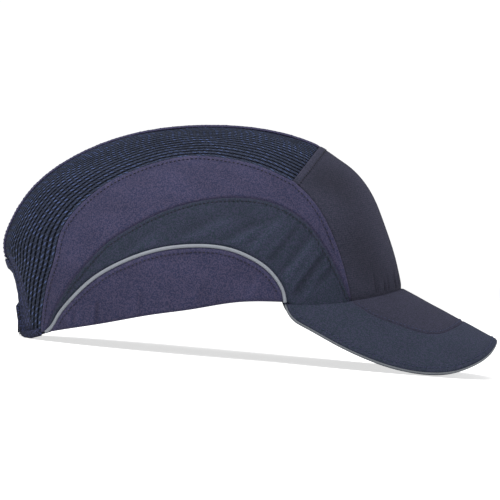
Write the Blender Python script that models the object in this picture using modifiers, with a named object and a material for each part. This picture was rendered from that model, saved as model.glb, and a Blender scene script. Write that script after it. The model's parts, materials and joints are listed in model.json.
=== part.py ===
"""Bump cap: a sewn peaked cap cover over a lift-out protective insert.

The cap is drawn in the worn pose, in millimetres: +X forward, +Y to the wearer's left, +Z up, with
the brim seam nearly level.  An empty then leans it back by REST_TILT, so that it rests on a table
on the two ends of its rear binding and on the two low points of its visor, and moves it so that the
origin is on the table under the middle of its overall length.
"""
from bisect import bisect_right
from math import acos, asin, atan2, cos, degrees, hypot, pi, radians, sin, tan

import bmesh
import bpy
import numpy as np
from mathutils import Vector

MM = 0.001

# Resting pose
REST_TILT = radians(5.13)
REST_SHIFT_X = -24.73
REST_SHIFT_Z = 10.907

# Crown: side profile as (angle, radius) about the ear point, and half the head width
EAR_X = -5.0
EAR_Z = 16.0
HALF_WIDTH = 87.0
ROUNDNESS = 2.1
PROFILE = [
    (-70, 112.0), (-30, 118.5), (6, 120.6), (18, 120.3), (27.5, 120.9), (38, 122.6), (52, 119.0),
    (66.5, 112.4), (84.5, 106.7), (109, 107.2), (129, 112.5), (143.5, 116.8), (155, 117.4),
    (161.5, 115.8), (167, 110.4), (177, 104.6), (190, 102.4), (215, 100.0), (290, 112.0),
]

# Seams of the right half, seen from the side, as (x, z)
SEAM_MESH = [
    (-90.8, 4.2), (-90.5, 10), (-88.7, 22.7), (-86.1, 34.1), (-82.7, 44.4), (-78.5, 61.5),
    (-70.0, 73.7), (-59.0, 83.8), (-45.1, 92.2), (-30.0, 98.4), (-17.2, 101.8), (-0.4, 103.5),
    (19.8, 101.0), (33.2, 97.3), (51.8, 89.0),
]
SEAM_DARK = [
    (-87.7, 4.3), (-85.8, 10.1), (-82.7, 17.0), (-78.4, 24.5), (-71.8, 34.2), (-64.3, 42.7),
    (-54.6, 52.9), (-42.2, 61.4), (-27.7, 69.2), (-5.2, 77.1), (17.4, 79.9), (40.0, 76.9),
    (48.6, 73.2), (59.2, 65.5), (70.6, 50.1), (79.1, 33.7), (83.6, 23.2),
]
SEAM_PIPING = [
    (-88.4, 3.7), (-84.0, 7.9), (-80.9, 13.1), (-76.1, 19.4), (-69.0, 26.9), (-61.9, 33.2),
    (-45.4, 43.0), (-23.4, 50.6), (-5.0, 52.7), (17.5, 50.3), (28.7, 45.5), (37.1, 39.8),
    (42.8, 33.1), (45.7, 27.5), (46.9, 21.4),
]
SEAM_FRONT = [(51.8, 89.0), (59.3, 82.0), (66.7, 72.5), (75.7, 53.6), (81.2, 36.2), (84.1, 22.9)]
HEM_SIDE = [(-88.4, 3.7), (-84.7, 4.4), (-54.6, 9.4), (-27.5, 14.3), (-5.4, 17.3), (20.3, 21.3), (46.9, 21.4)]
SEAM_VISOR = [(46.9, 21.2), (69.0, 20.7), (84.0, 22.0), (94.4, 23.7), (105.0, 26.0), (115.0, 28.7)]
FRONT_TOP_ANGLE = radians(52.3)

# Where a side panel's outline turns from one seam to the next: as a share of that side of the
# panel, and of the seam on the panel's other side
MESH_CORNER = (0.24, 0.33)
UPPER_CORNER = (0.78, 0.74)
MIDDLE_CORNER = (0.80, 0.86)
VISOR_CORNER_SHARE = 0.49

# How far each strip runs along its seams, as shares of them; they narrow to points at the ends
UPPER_ENDS = (0.0, 0.985)
MIDDLE_ENDS = (0.055, 0.985)
LOWER_ENDS = (0.05, 0.982)
PIPING_ENDS = (0.012, 0.986)
HEM_ENDS = (0.04, 0.97)
HEM_WIDTH = 10.0

# Layers of the crown, as depths below its outer surface
COVER = (0.0, 1.2)
MESH_COVER = (0.4, 1.5)
STRIP_LAYER = (-0.4, 0.1)
BINDING_LAYER = (-0.3, 1.9)
HEM_LAYER = (1.6, 2.4)
SHELL_LAYER = (3.1, 4.9)
PAD_LAYER = (5.9, 10.7)
BAND_LAYER = (5.7, 7.9)
SEAM_GAP = 0.17
CLEARANCE = 0.3
PIPING_RADIUS = 1.0
PIPING_DEPTH = 0.35

# Centre strip and rear opening
STRIP_HALF = 10.0
OPENING_HALF = 25.0
OPENING_TOP = 39.8
OPENING_FOOT = 0.6
OPENING_SQUARE = 5.0
OPENING_SWEEP = pi / 2 - 0.02
BINDING_WIDTH = 5.6

# Visor: part of a cylinder whose top line starts at the crown and drops at VISOR_DROP
VISOR_ROOT_X = 115.0
VISOR_ROOT_Z = 28.5
VISOR_DROP = radians(28.4)
VISOR_RADIUS = 100.0
VISOR_EDGE = [
    (52.3, -56.7), (54.6, -53.1), (56.2, -48.5), (56.7, -40.0), (56.9, -20.6), (56.0, 0.0),
    (54.5, 12.8), (51.9, 25.5), (48.4, 36.3), (43.4, 46.0), (37.8, 52.4), (31.1, 57.6),
    (23.9, 60.9), (12.0, 62.9), (0.0, 63.4),
]
PATCH_EDGE = [
    (37.3, -24.8), (38.1, -16.9), (38.5, -10.2), (37.9, -2.8), (35.6, 12.0), (33.6, 21.2),
    (31.3, 26.3), (27.6, 31.0), (20.9, 35.2), (12.0, 38.6), (0.0, 40.1),
]
TOP_COVER = (0.0, 1.0)
BOARD = (1.5, 3.3)
UNDER_COVER = (3.6, 4.4)
LINING_INSET = 0.8
STIFFENER_END = 1.2
STIFFENER_EDGE = 0.9
PATCH_SPLIT = 0.22
PATCH_ENDS = (0.01, 0.99)
EDGE_PIPING_RADIUS = 0.7
EDGE_PIPING_DEPTH = 0.5
EDGE_PIPING_ENDS = (0.006, 0.994)

# Adjuster: a strap arc behind the head, with a cam buckle
STRAP_CENTRE_X = -28.7
STRAP_INNER = 74.0
STRAP_THICK = 1.2
STRAP_LOW = 2.9
STRAP_HIGH = 12.3
STRAP_START = 37.0
STRAP_END = -27.0
ANCHOR_INNER = 72.3
ANCHOR_START = -12.6
ANCHOR_END = -34.0
BUCKLE_HALF_ANGLE = 8.2
BUCKLE_LOW = 1.4
BUCKLE_HIGH = 13.8
CHEEK = 1.0
CHEEK_REACH = 2.6
CHEEK_START = 1.5
PIN_ANGLE = 5.6
PIN_RADIUS = 0.6
PIN_OUT = 1.75
LEVER_THICK = 1.3
LEVER_LENGTH = 14.0
LEVER_KNUCKLE = 1.45
KEEPER_ANGLE = -15.4
KEEPER_ROOM = 0.85
KEEPER_RADIUS = 0.5

# Insert: (x, height) of the shell's rim, (turn, height) of the brim, the shell's vents as rows of
# angles with the swing to either side, and the pads as (angles, swings, grid)
RIM = [(-112, 56), (-85, 45), (-40, 38), (0, 38), (45, 40), (85, 41), (112, 44)]
BRIM = [(0, 29.5), (20, 27.5), (40, 24), (62, 22), (90, 18.5), (120, 12), (145, 6), (180, 3)]
BAND_HEIGHT = 30.0
BAND_REACH = radians(135)
SHELL_HALF_WIDTH = 78.0
VENT_LENGTH = 22.0
VENT_WIDTH = 6.0
VENT_CUT = 6.0
VENT_ROWS = [((62, 84, 106, 128), 14), ((72, 95, 118), 34), ((84, 106), 52)]
PADS = {
    "crown_pad": ((80, 112), (-20, 20), (6, 6)),
    "front_pad": ((34, 50), (-30, 30), (3, 10)),
    "rear_pad": ((134, 150), (-27, 27), (3, 9)),
    "side_pad_right": ((62, 118), (-58, -44), (7, 3)),
    "side_pad_left": ((62, 118), (44, 58), (7, 3)),
}
PAD_ROUNDING = 0.18

# Finishes: colour, roughness, metallic
FINISHES = {
    "navy_mesh": ((0.030, 0.042, 0.105), 0.85, 0.0),
    "purple_cloth": ((0.062, 0.058, 0.118), 0.85, 0.0),
    "dark_cloth": ((0.036, 0.045, 0.078), 0.85, 0.0),
    "grey_piping": ((0.33, 0.35, 0.38), 0.5, 0.0),
    "visor_board_plastic": ((0.05, 0.05, 0.06), 0.6, 0.0),
    "webbing": ((0.03, 0.035, 0.06), 0.8, 0.0),
    "buckle_plastic": ((0.015, 0.016, 0.02), 0.4, 0.0),
    "shell_plastic": ((0.10, 0.11, 0.13), 0.35, 0.0),
    "pad_foam": ((0.03, 0.03, 0.035), 0.9, 0.0),
    "sweatband_cloth": ((0.05, 0.05, 0.06), 0.95, 0.0),
}


# ---------------------------------------------------------------- curves and surfaces

def spline(knots, values):
    """Natural cubic spline through (knots, values), as a function."""
    knots = np.asarray(knots, float)
    values = np.asarray(values, float)
    count = len(knots)
    step = np.diff(knots)
    rise = np.diff(values, axis=0)
    system = np.zeros((count, count))
    right = np.zeros((count,) + values.shape[1:])
    system[0, :2] = (2, 1)
    system[-1, -2:] = (1, 2)
    right[0] = 3 * rise[0] / step[0]
    right[-1] = 3 * rise[-1] / step[-1]
    for i in range(1, count - 1):
        system[i, i - 1:i + 2] = (1 / step[i - 1], 2 / step[i - 1] + 2 / step[i], 1 / step[i])
        right[i] = 3 * (rise[i - 1] / step[i - 1] ** 2 + rise[i] / step[i] ** 2)
    slope = np.linalg.solve(system, right)
    places = knots.tolist()

    def value(at):
        i = min(max(bisect_right(places, at) - 1, 0), count - 2)
        t = (at - places[i]) / (places[i + 1] - places[i])
        return (values[i] * (1 + 2 * t) * (1 - t) ** 2 + values[i + 1] * t * t * (3 - 2 * t)
                + slope[i] * step[i] * t * (1 - t) ** 2 - slope[i + 1] * step[i] * t * t * (1 - t))
    return value


def curve_through(points):
    """A smooth curve through points, as a function of 0 to 1 along its length."""
    points = np.asarray(points, float)
    reach = np.concatenate([[0], np.cumsum(np.hypot(*np.diff(points, axis=0).T))])
    return spline(reach / reach[-1], points)


def joined(curves, breaks):
    """Several curves end to end: curve i runs between breaks[i] and breaks[i + 1]."""
    def point(t):
        i = min(int(np.searchsorted(breaks, t, side="right")) - 1, len(curves) - 1)
        i = max(i, 0)
        return curves[i]((t - breaks[i]) / (breaks[i + 1] - breaks[i]))
    return point


def remapped(curve, stops, places):
    """The same curve, walked so that it is at places when the parameter is at stops."""
    return lambda t: curve(float(np.interp(t, stops, places)))


profile_spline = spline(*zip(*PROFILE))


def profile_radius(angle):
    """The crown's radius about the ear point at an angle in radians."""
    turn = degrees(angle) % 360
    if turn > 290:
        turn -= 360
    return float(profile_spline(turn))


def crown(angle, swing, depth=0.0):
    """A crown point: angle goes over the head from front to rear, swing goes from the middle to an ear."""
    reach = (profile_radius(angle) - depth) * abs(cos(swing)) ** (2 / ROUNDNESS)
    out = (HALF_WIDTH - depth) * abs(sin(swing)) ** (2 / ROUNDNESS)
    return Vector((EAR_X + reach * cos(angle), out if swing > 0 else -out, EAR_Z + reach * sin(angle)))


def side_point(x, z):
    """The (angle, swing) of the right-hand crown point seen at (x, z) from the side."""
    angle = atan2(z - EAR_Z, x - EAR_X)
    if angle < -pi / 2:
        angle += 2 * pi
    share = min(hypot(x - EAR_X, z - EAR_Z) / profile_radius(angle), 1.0)
    return np.array((angle, -acos(share ** (ROUNDNESS / 2))))


def swing_at(width):
    """The swing at which the crown is width from the middle plane."""
    return asin((abs(width) / HALF_WIDTH) ** (ROUNDNESS / 2)) * (1 if width > 0 else -1)


def table_height(x):
    """Where the table is under the worn cap, at x."""
    return -REST_SHIFT_Z - (x + REST_SHIFT_X) * tan(REST_TILT)


def half_width_at(x, z, depth):
    """Half the crown's width at a side-view point, at a depth; zero outside it."""
    angle = atan2(z - EAR_Z, x - EAR_X)
    share = hypot(x - EAR_X, z - EAR_Z) / (profile_radius(angle) - depth)
    return (HALF_WIDTH - depth) * max(1 - share ** ROUNDNESS, 0) ** (1 / ROUNDNESS)


def visor(turn, along, depth=0.0):
    """A visor point: turn around its cylinder in radians, along its slope, below its top surface."""
    fall = VISOR_RADIUS - (VISOR_RADIUS - depth) * cos(turn)
    x = VISOR_ROOT_X + along * cos(VISOR_DROP) - fall * sin(VISOR_DROP)
    z = VISOR_ROOT_Z - along * sin(VISOR_DROP) - fall * cos(VISOR_DROP)
    return Vector((x, (VISOR_RADIUS - depth) * sin(turn), z))


def visor_root(turn, layer_depth, crown_depth):
    """How far along the visor its surface meets the crown."""
    low, high = -100.0, 6.0
    for _ in range(24):
        middle = (low + high) / 2
        point = visor(turn, middle, layer_depth)
        if half_width_at(point.x, point.z, crown_depth) > abs(point.y):
            low = middle
        else:
            high = middle
    return low


# ---------------------------------------------------------------- solids

def finish(name):
    colour, roughness, metallic = FINISHES[name]
    material = bpy.data.materials.get(name) or bpy.data.materials.new(name)
    material.use_nodes = True
    shader = material.node_tree.nodes["Principled BSDF"]
    shader.inputs["Base Color"].default_value = (*colour, 1)
    shader.inputs["Roughness"].default_value = roughness
    shader.inputs["Metallic"].default_value = metallic
    material.diffuse_color = (*colour, 1)
    return material


def add_object(name, data, slot, origin=(0, 0, 0)):
    """Name, finish and place a new object; its mesh is in metres about its origin."""
    piece = bpy.data.objects.new(name, data)
    data.materials.append(finish(slot))
    COLLECTION.objects.link(piece)
    piece.location = Vector(origin) * MM
    piece.parent = REST_EMPTY
    return piece


def solid_from_bmesh(name, bm, slot, origin=(0, 0, 0), smooth=True):
    bmesh.ops.recalc_face_normals(bm, faces=bm.faces)
    for vertex in bm.verts:
        vertex.co = (vertex.co - Vector(origin)) * MM
    for face in bm.faces:
        face.smooth = smooth
    mesh = bpy.data.meshes.new(name)
    bm.to_mesh(mesh)
    bm.free()
    return add_object(name, mesh, slot, origin)


def sheet(name, surface, counts, layer, margins, slot, mirror=False):
    """A sheet of a given thickness on a surface(u, v, depth), kept margins inside its four sides."""
    columns, rows = counts
    bm = bmesh.new()
    places = inset_places(surface, columns, rows, margins)
    outer, inner = [[[bm.verts.new(surface(u, v, depth)) for u, v in line] for line in places]
                    for depth in layer]
    for i in range(columns):
        for j in range(rows):
            bm.faces.new((outer[i][j], outer[i + 1][j], outer[i + 1][j + 1], outer[i][j + 1]))
            bm.faces.new((inner[i][j], inner[i][j + 1], inner[i + 1][j + 1], inner[i + 1][j]))
    rim = [(i, 0) for i in range(columns)] + [(columns, j) for j in range(rows)]
    rim += [(i, rows) for i in range(columns, 0, -1)] + [(0, j) for j in range(rows, 0, -1)]
    for (a, b), (c, d) in zip(rim, rim[1:] + rim[:1]):
        bm.faces.new((outer[a][b], inner[a][b], inner[c][d], outer[c][d]))
    if mirror:
        bmesh.ops.scale(bm, verts=bm.verts, vec=(1, -1, 1))
    return solid_from_bmesh(name, bm, slot)


def run_length(surface, fixed, along_v):
    """The length of one grid line of a surface."""
    steps = [k / 8 for k in range(9)]
    line = [surface(fixed, t, 0.0) if along_v else surface(t, fixed, 0.0) for t in steps]
    return sum((b - a).length for a, b in zip(line, line[1:]))


def squareness(surface, u, v):
    """The sine of the angle between a surface's two grid lines at (u, v)."""
    step = 0.01
    low_u, high_u = max(u - step, 0), min(u + step, 1)
    low_v, high_v = max(v - step, 0), min(v + step, 1)
    along = (surface(high_u, v, 0.0) - surface(low_u, v, 0.0)).normalized()
    across = (surface(u, high_v, 0.0) - surface(u, low_v, 0.0)).normalized()
    return max(along.cross(across).length, 0.3)


def inset_places(surface, columns, rows, margins):
    """The sheet's grid of (u, v), squeezed to keep its margins, in millimetres, from its four sides."""
    start_u, end_u, start_v, end_v = margins
    places = [[None] * (rows + 1) for _ in range(columns + 1)]
    for i in range(columns + 1):
        u = i / columns
        across = run_length(surface, u, True)
        first = start_v / squareness(surface, u, 0.0) / across
        last = end_v / squareness(surface, u, 1.0) / across
        for j in range(rows + 1):
            places[i][j] = (u, first + j / rows * (1 - first - last))
    for j in range(rows + 1):
        v = j / rows
        along = run_length(surface, v, False)
        first = start_u / squareness(surface, 0.0, v) / along
        last = end_u / squareness(surface, 1.0, v) / along
        for i in range(columns + 1):
            places[i][j] = (first + i / columns * (1 - first - last), places[i][j][1])
    return places


def between(lower, upper, surface):
    """A ruled patch between two curves given in a surface's own coordinates."""
    def point(u, v, depth):
        place = lower(u) * (1 - v) + upper(u) * v
        return surface(place[0], place[1], depth)
    return point


def cut_ends(patch, first, last):
    """Only the middle part of a patch, from first to last along it."""
    return lambda u, v, depth: patch(first + u * (last - first), v, depth)


def on_side(curve):
    """A side-view curve as crown coordinates."""
    return lambda t: side_point(*curve(t))


def tube(name, points, radius, slot, closed=False):
    """A round cord along points."""
    curve = bpy.data.curves.new(name, "CURVE")
    curve.dimensions = "3D"
    curve.bevel_depth = radius * MM
    curve.bevel_resolution = 1
    curve.use_fill_caps = not closed
    line = curve.splines.new("POLY")
    line.points.add(len(points) - 1)
    for place, point in zip(line.points, points):
        place.co = (*(Vector(point) * MM), 1)
    line.use_cyclic_u = closed
    line.use_smooth = True
    return add_object(name, curve, slot)


def arc_band(name, inner, start, end, steps):
    """A flat strap bent round the strap axis, from start to end in degrees behind the head."""
    bm = bmesh.new()
    heights = (STRAP_LOW, (STRAP_LOW + STRAP_HIGH) / 2, STRAP_HIGH)
    verts = [bm.verts.new((inner * MM, 0, height * MM)) for height in heights]
    for a, b in zip(verts, verts[1:]):
        bm.edges.new((a, b))
    mesh = bpy.data.meshes.new(name)
    bm.to_mesh(mesh)
    bm.free()
    band = add_object(name, mesh, "webbing", (STRAP_CENTRE_X, 0, 0))
    band.rotation_euler.z = pi - radians(max(start, end))
    screw = band.modifiers.new("Bend", "SCREW")
    screw.angle = radians(abs(start - end))
    screw.steps = steps
    screw.render_steps = steps
    screw.use_smooth_shade = True
    thickness = band.modifiers.new("Thickness", "SOLIDIFY")
    thickness.thickness = STRAP_THICK * MM
    thickness.offset = -1.0
    return band


def to_cutters(piece):
    """Keep a helper solid out of the model: it only shapes other pieces."""
    CUTTERS.objects.link(piece)
    COLLECTION.objects.unlink(piece)
    piece.hide_render = True
    piece.display_type = "WIRE"


def combine(target, helper, operation):
    """Join a helper solid to the target, or cut it out of the target."""
    to_cutters(helper)
    change = target.modifiers.new(helper.name, "BOOLEAN")
    change.operation = operation
    change.solver = "EXACT"
    change.object = helper


# ---------------------------------------------------------------- cap cover

def seam_curves():
    """The seams of the right half as crown-coordinate curves from rear to front."""
    return {
        "mesh": on_side(curve_through(SEAM_MESH)),
        "dark": on_side(curve_through(SEAM_DARK)),
        "piping": on_side(curve_through(SEAM_PIPING)),
        "front": on_side(curve_through(SEAM_FRONT)),
        "hem": on_side(curve_through(HEM_SIDE)),
        "visor": on_side(curve_through(SEAM_VISOR)),
    }


FRONT_PAIRS = [side_point(*point) for point in SEAM_FRONT][::-1]
VISOR_PAIRS = [side_point(*point) for point in SEAM_VISOR][::-1]
front_swing = spline([pair[0] for pair in FRONT_PAIRS], [pair[1] for pair in FRONT_PAIRS])
visor_spline = spline([-pair[1] for pair in VISOR_PAIRS], [pair[0] for pair in VISOR_PAIRS])


def visor_angle(swing):
    """The angle at which the crown meets the visor, at a swing."""
    return float(visor_spline(abs(swing)))


def front_panel():
    def surface(u, v, depth):
        top_swing = front_swing(FRONT_TOP_ANGLE)
        share = 2 * v - 1
        foot = visor_angle(share * front_swing(visor_angle(top_swing)))
        angle = foot + (FRONT_TOP_ANGLE - foot) * u
        return crown(angle, -share * front_swing(angle), depth)
    sheet("front_panel", surface, (9, 16), COVER, (SEAM_GAP,) * 4, "dark_cloth")


def opening_edge(turn, margin):
    """Rear opening outline as (angle, swing) on the right: turn 0 at its foot, 90 degrees at its top."""
    half = OPENING_HALF + margin
    tall = OPENING_TOP - OPENING_FOOT + margin
    width = half * abs(cos(turn)) ** (2 / OPENING_SQUARE)
    height = OPENING_FOOT + tall * abs(sin(turn)) ** (2 / OPENING_SQUARE)
    swing = swing_at(-width)
    angle = pi
    for _ in range(12):
        reach = (profile_radius(angle)) * cos(swing) ** (2 / ROUNDNESS)
        angle = pi - asin((height - EAR_Z) / reach)
    return np.array((angle, swing))


def mesh_panel(side):
    """Top panel of one side: between the centre line and the upper side panel."""
    seams = seam_curves()
    edge_swing = swing_at(-SEAM_GAP)
    reach = BINDING_WIDTH + SEAM_GAP
    top = opening_edge(OPENING_SWEEP, reach)
    corner, facing = MESH_CORNER

    def around_opening(t):
        return opening_edge(OPENING_SWEEP * t, reach)

    def over_head(t):
        angle = top[0] + (FRONT_TOP_ANGLE - top[0]) * t
        return np.array((angle, edge_swing + (top[1] - edge_swing) * (1 - t) ** 8))
    upper = joined([around_opening, over_head], [0.0, corner, 1.0])
    lower = remapped(seams["mesh"], [0, corner, 1], [0, facing, 1])
    margins = (SEAM_GAP + CLEARANCE, SEAM_GAP, SEAM_GAP, SEAM_GAP)
    patch = between(lower, upper, crown)
    sheet("mesh_panel_" + side, patch, (28, 8), MESH_COVER, margins, "navy_mesh", side == "left")


def upper_side_panel(side):
    """Purple strip under the mesh panel, which runs down to the visor beside the front panel."""
    seams = seam_curves()
    corner, facing = UPPER_CORNER
    upper = joined([seams["mesh"], seams["front"]], [0.0, corner, 1.0])
    lower = remapped(seams["dark"], [0, corner, 1], [0, facing, 1])
    patch = cut_ends(between(lower, upper, crown), *UPPER_ENDS)
    margins = (SEAM_GAP,) * 4
    sheet("upper_side_panel_" + side, patch, (36, 3), COVER, margins, "purple_cloth", side == "left")


def middle_side_panel(side):
    """Dark crescent between the upper strip, the piping and the visor."""
    seams = seam_curves()
    meeting = curve_through(SEAM_VISOR)
    corner, facing = MIDDLE_CORNER

    def along_visor(t):
        return side_point(*meeting(VISOR_CORNER_SHARE * t))
    lower = joined([seams["piping"], along_visor], [0.0, corner, 1.0])
    upper = remapped(seams["dark"], [0, corner, 1], [0, facing, 1])
    patch = cut_ends(between(lower, upper, crown), *MIDDLE_ENDS)
    margins = (SEAM_GAP, SEAM_GAP, PIPING_RADIUS + CLEARANCE, SEAM_GAP)
    sheet("middle_side_panel_" + side, patch, (32, 4), COVER, margins, "dark_cloth", side == "left")


def lower_side_panel(side):
    """Purple panel between the piping and the hem."""
    seams = seam_curves()
    patch = cut_ends(between(seams["hem"], seams["piping"], crown), *LOWER_ENDS)
    margins = (SEAM_GAP, CLEARANCE, 0.0, PIPING_RADIUS + CLEARANCE)
    sheet("lower_side_panel_" + side, patch, (26, 3), COVER, margins, "purple_cloth", side == "left")


def side_piping(side):
    """Cord sewn in between the middle and lower panels."""
    line = on_side(curve_through(SEAM_PIPING))
    start, end = PIPING_ENDS
    steps = 36
    points = [crown(*line(start + (end - start) * k / steps), PIPING_DEPTH) for k in range(steps + 1)]
    if side == "left":
        points = [Vector((point.x, -point.y, point.z)) for point in points]
    tube("side_piping_" + side, points, PIPING_RADIUS, "grey_piping")


def centre_strip():
    """Tape sewn over the seam between the two mesh panels."""
    rear = opening_edge(OPENING_SWEEP, BINDING_WIDTH + SEAM_GAP + CLEARANCE)[0]

    def surface(u, v, depth):
        angle = rear + (FRONT_TOP_ANGLE - rear) * u
        return crown(angle, swing_at(STRIP_HALF * (2 * v - 1) - 1e-6), depth)
    sheet("centre_strip", surface, (36, 4), STRIP_LAYER, (CLEARANCE, SEAM_GAP, 0, 0), "purple_cloth")


def opening_binding():
    """Folded binding round the rear opening; its two feet end flat on the table."""
    def surface(u, v, depth):
        turn = (1 - abs(2 * u - 1)) * (pi / 2)
        angle, swing = opening_edge(turn, BINDING_WIDTH * v)
        point = crown(angle, swing if u < 0.5 else -swing, depth)
        if turn < 1e-6:
            point.z = table_height(point.x)
        return point
    sheet("opening_binding", surface, (40, 3), BINDING_LAYER, (0, 0, 0, 0), "navy_mesh")


def hem_tape(side):
    """Tape inside the hem, from the visor's corner to the rear."""
    seams = seam_curves()
    start, end = HEM_ENDS

    def surface(u, v, depth):
        foot = crown(*seams["hem"](start + (end - start) * u), depth)
        return crown(*side_point(foot.x, foot.z + HEM_WIDTH * v), depth)
    sheet("hem_tape_" + side, surface, (24, 2), HEM_LAYER, (0, 0, 0.2, 0), "webbing", side == "left")


# ---------------------------------------------------------------- visor

def visor_curve(points):
    """A visor outline from its right corner round to its left corner."""
    half = curve_through([(-radians(turn) * VISOR_RADIUS, along) for turn, along in points])

    def point(t):
        arc, along = half(1 - abs(2 * t - 1))
        turn = arc / VISOR_RADIUS
        return np.array((turn if t < 0.5 else -turn, along))
    return point


def root_curve(widest, layer_depth, crown_depth):
    """The visor's seam with the crown, from -widest to +widest degrees."""
    def point(t):
        turn = radians(widest) * (2 * t - 1)
        return np.array((turn, visor_root(turn, layer_depth, crown_depth)))
    return point


def visor_covers(edge):
    """The top cover, and the purple patch let into it where it meets the crown."""
    patch_edge = visor_curve(PATCH_EDGE)
    patch_corner = PATCH_EDGE[0][0]
    root = root_curve(VISOR_EDGE[0][0], 0.0, 0.0)
    root_share = (1 - patch_corner / VISOR_EDGE[0][0]) / 2

    def right_root(t):
        return root(root_share * t)

    def left_root(t):
        return root(1 - root_share * (1 - t))
    inner = joined([right_root, patch_edge, left_root], [0.0, PATCH_SPLIT, 1 - PATCH_SPLIT, 1.0])
    margins = (1.0, 1.0, CLEARANCE, EDGE_PIPING_RADIUS + CLEARANCE)
    sheet("visor_top_cover", between(inner, edge, visor), (48, 4), TOP_COVER, margins, "dark_cloth")
    patch = between(root_curve(patch_corner, 0.0, 0.0), patch_edge, visor)
    margins = (0.4, 0.4, CLEARANCE, CLEARANCE)
    sheet("visor_insert", cut_ends(patch, *PATCH_ENDS), (20, 5), TOP_COVER, margins, "purple_cloth")


def visor_pieces():
    """The visor's two covers, the stiff board between them and the cord round its edge."""
    edge = visor_curve(VISOR_EDGE)
    visor_covers(edge)
    margins = (STIFFENER_END, STIFFENER_END, CLEARANCE, STIFFENER_EDGE)
    layers = (("visor_board", BOARD, "visor_board_plastic"), ("visor_under_cover", UNDER_COVER, "dark_cloth"))
    for name, layer, slot in layers:
        root = root_curve(VISOR_EDGE[0][0] - LINING_INSET, layer[0], 0.0)
        sheet(name, between(root, edge, visor), (32, 5), layer, margins, slot)
    start, end = EDGE_PIPING_ENDS
    steps = 60
    points = [visor(*edge(start + (end - start) * k / steps), EDGE_PIPING_DEPTH) for k in range(steps + 1)]
    tube("visor_piping", points, EDGE_PIPING_RADIUS, "grey_piping")


# ---------------------------------------------------------------- adjuster

def behind(radius, angle, z):
    """A point behind the head, at a radius and an angle in degrees about the strap axis."""
    turn = radians(angle)
    return Vector((STRAP_CENTRE_X - radius * cos(turn), radius * sin(turn), z))


def slab(name, outline, low, high, origin=(0, 0, 0)):
    """A prism from low to high on an outline drawn in the cap's horizontal plane."""
    bm = bmesh.new()
    floor = bm.faces.new([bm.verts.new((x, y, low)) for x, y in outline])
    grown = bmesh.ops.extrude_face_region(bm, geom=[floor])
    for item in grown["geom"]:
        if isinstance(item, bmesh.types.BMVert):
            item.co.z = high
    return solid_from_bmesh(name, bm, "buckle_plastic", origin, smooth=False)


def strap_pieces():
    """The sliding strap, and the short fixed strap inside it that carries the buckle."""
    arc_band("adjuster_strap", STRAP_INNER, STRAP_START, STRAP_END, 26)
    arc_band("strap_anchor", ANCHOR_INNER, ANCHOR_START, ANCHOR_END, 8)


def rounded(value):
    """A cosine or sine drawn out to the side of a rounded square."""
    return np.sign(value) * abs(value) ** 0.35


def strap_keeper():
    """A small loop that holds the strap's free end against the fixed strap."""
    outside = STRAP_INNER + STRAP_THICK
    half_depth = (outside - ANCHOR_INNER) / 2 + KEEPER_ROOM
    half_height = (STRAP_HIGH - STRAP_LOW) / 2 + KEEPER_ROOM
    points = []
    for k in range(24):
        turn = 2 * pi * k / 24
        radius = (ANCHOR_INNER + outside) / 2 + half_depth * rounded(cos(turn))
        height = (STRAP_HIGH + STRAP_LOW) / 2 + half_height * rounded(sin(turn))
        points.append(behind(radius, KEEPER_ANGLE, height))
    tube("strap_keeper", points, KEEPER_RADIUS, "buckle_plastic", closed=True)


def plan_arc(radius, first, last, steps):
    """Points of an arc behind the head, in plan."""
    return [behind(radius, first + (last - first) * k / steps, 0).xy for k in range(steps + 1)]


def buckle_frame():
    """Base plate behind the strap with a cheek above and below it."""
    inner = ANCHOR_INNER - CLEARANCE
    base_out = STRAP_INNER - CLEARANCE
    cheek_out = STRAP_INNER + STRAP_THICK + CHEEK_REACH
    half = BUCKLE_HALF_ANGLE
    plate = plan_arc(inner, -half, half, 8) + plan_arc(base_out, half, -half, 8)
    base = slab("buckle_frame", plate, BUCKLE_LOW, BUCKLE_HIGH)
    ridge = [behind(STRAP_INNER + 1.4, -1, 0).xy, behind(STRAP_INNER + CLEARANCE, -half, 0).xy]
    outline = plan_arc(base_out - 0.4, -half, half, 8) + plan_arc(cheek_out, half, CHEEK_START, 4) + ridge
    for name, low in (("lower_cheek", BUCKLE_LOW), ("upper_cheek", BUCKLE_HIGH - CHEEK)):
        combine(base, slab(name, outline, low, low + CHEEK), "UNION")
    bore = pin_cylinder("pin_bore", PIN_RADIUS + CLEARANCE, BUCKLE_LOW - 1, BUCKLE_HIGH + 1)
    combine(base, bore, "DIFFERENCE")


def pin_place():
    return behind(STRAP_INNER + STRAP_THICK + PIN_OUT, PIN_ANGLE, (BUCKLE_LOW + BUCKLE_HIGH) / 2)


def pin_cylinder(name, radius, low, high):
    bm = bmesh.new()
    bmesh.ops.create_cone(bm, cap_ends=True, segments=16, radius1=radius, radius2=radius, depth=high - low)
    centre = pin_place()
    bmesh.ops.translate(bm, verts=bm.verts, vec=(centre.x, centre.y, (low + high) / 2))
    return solid_from_bmesh(name, bm, "buckle_plastic", centre)


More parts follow.
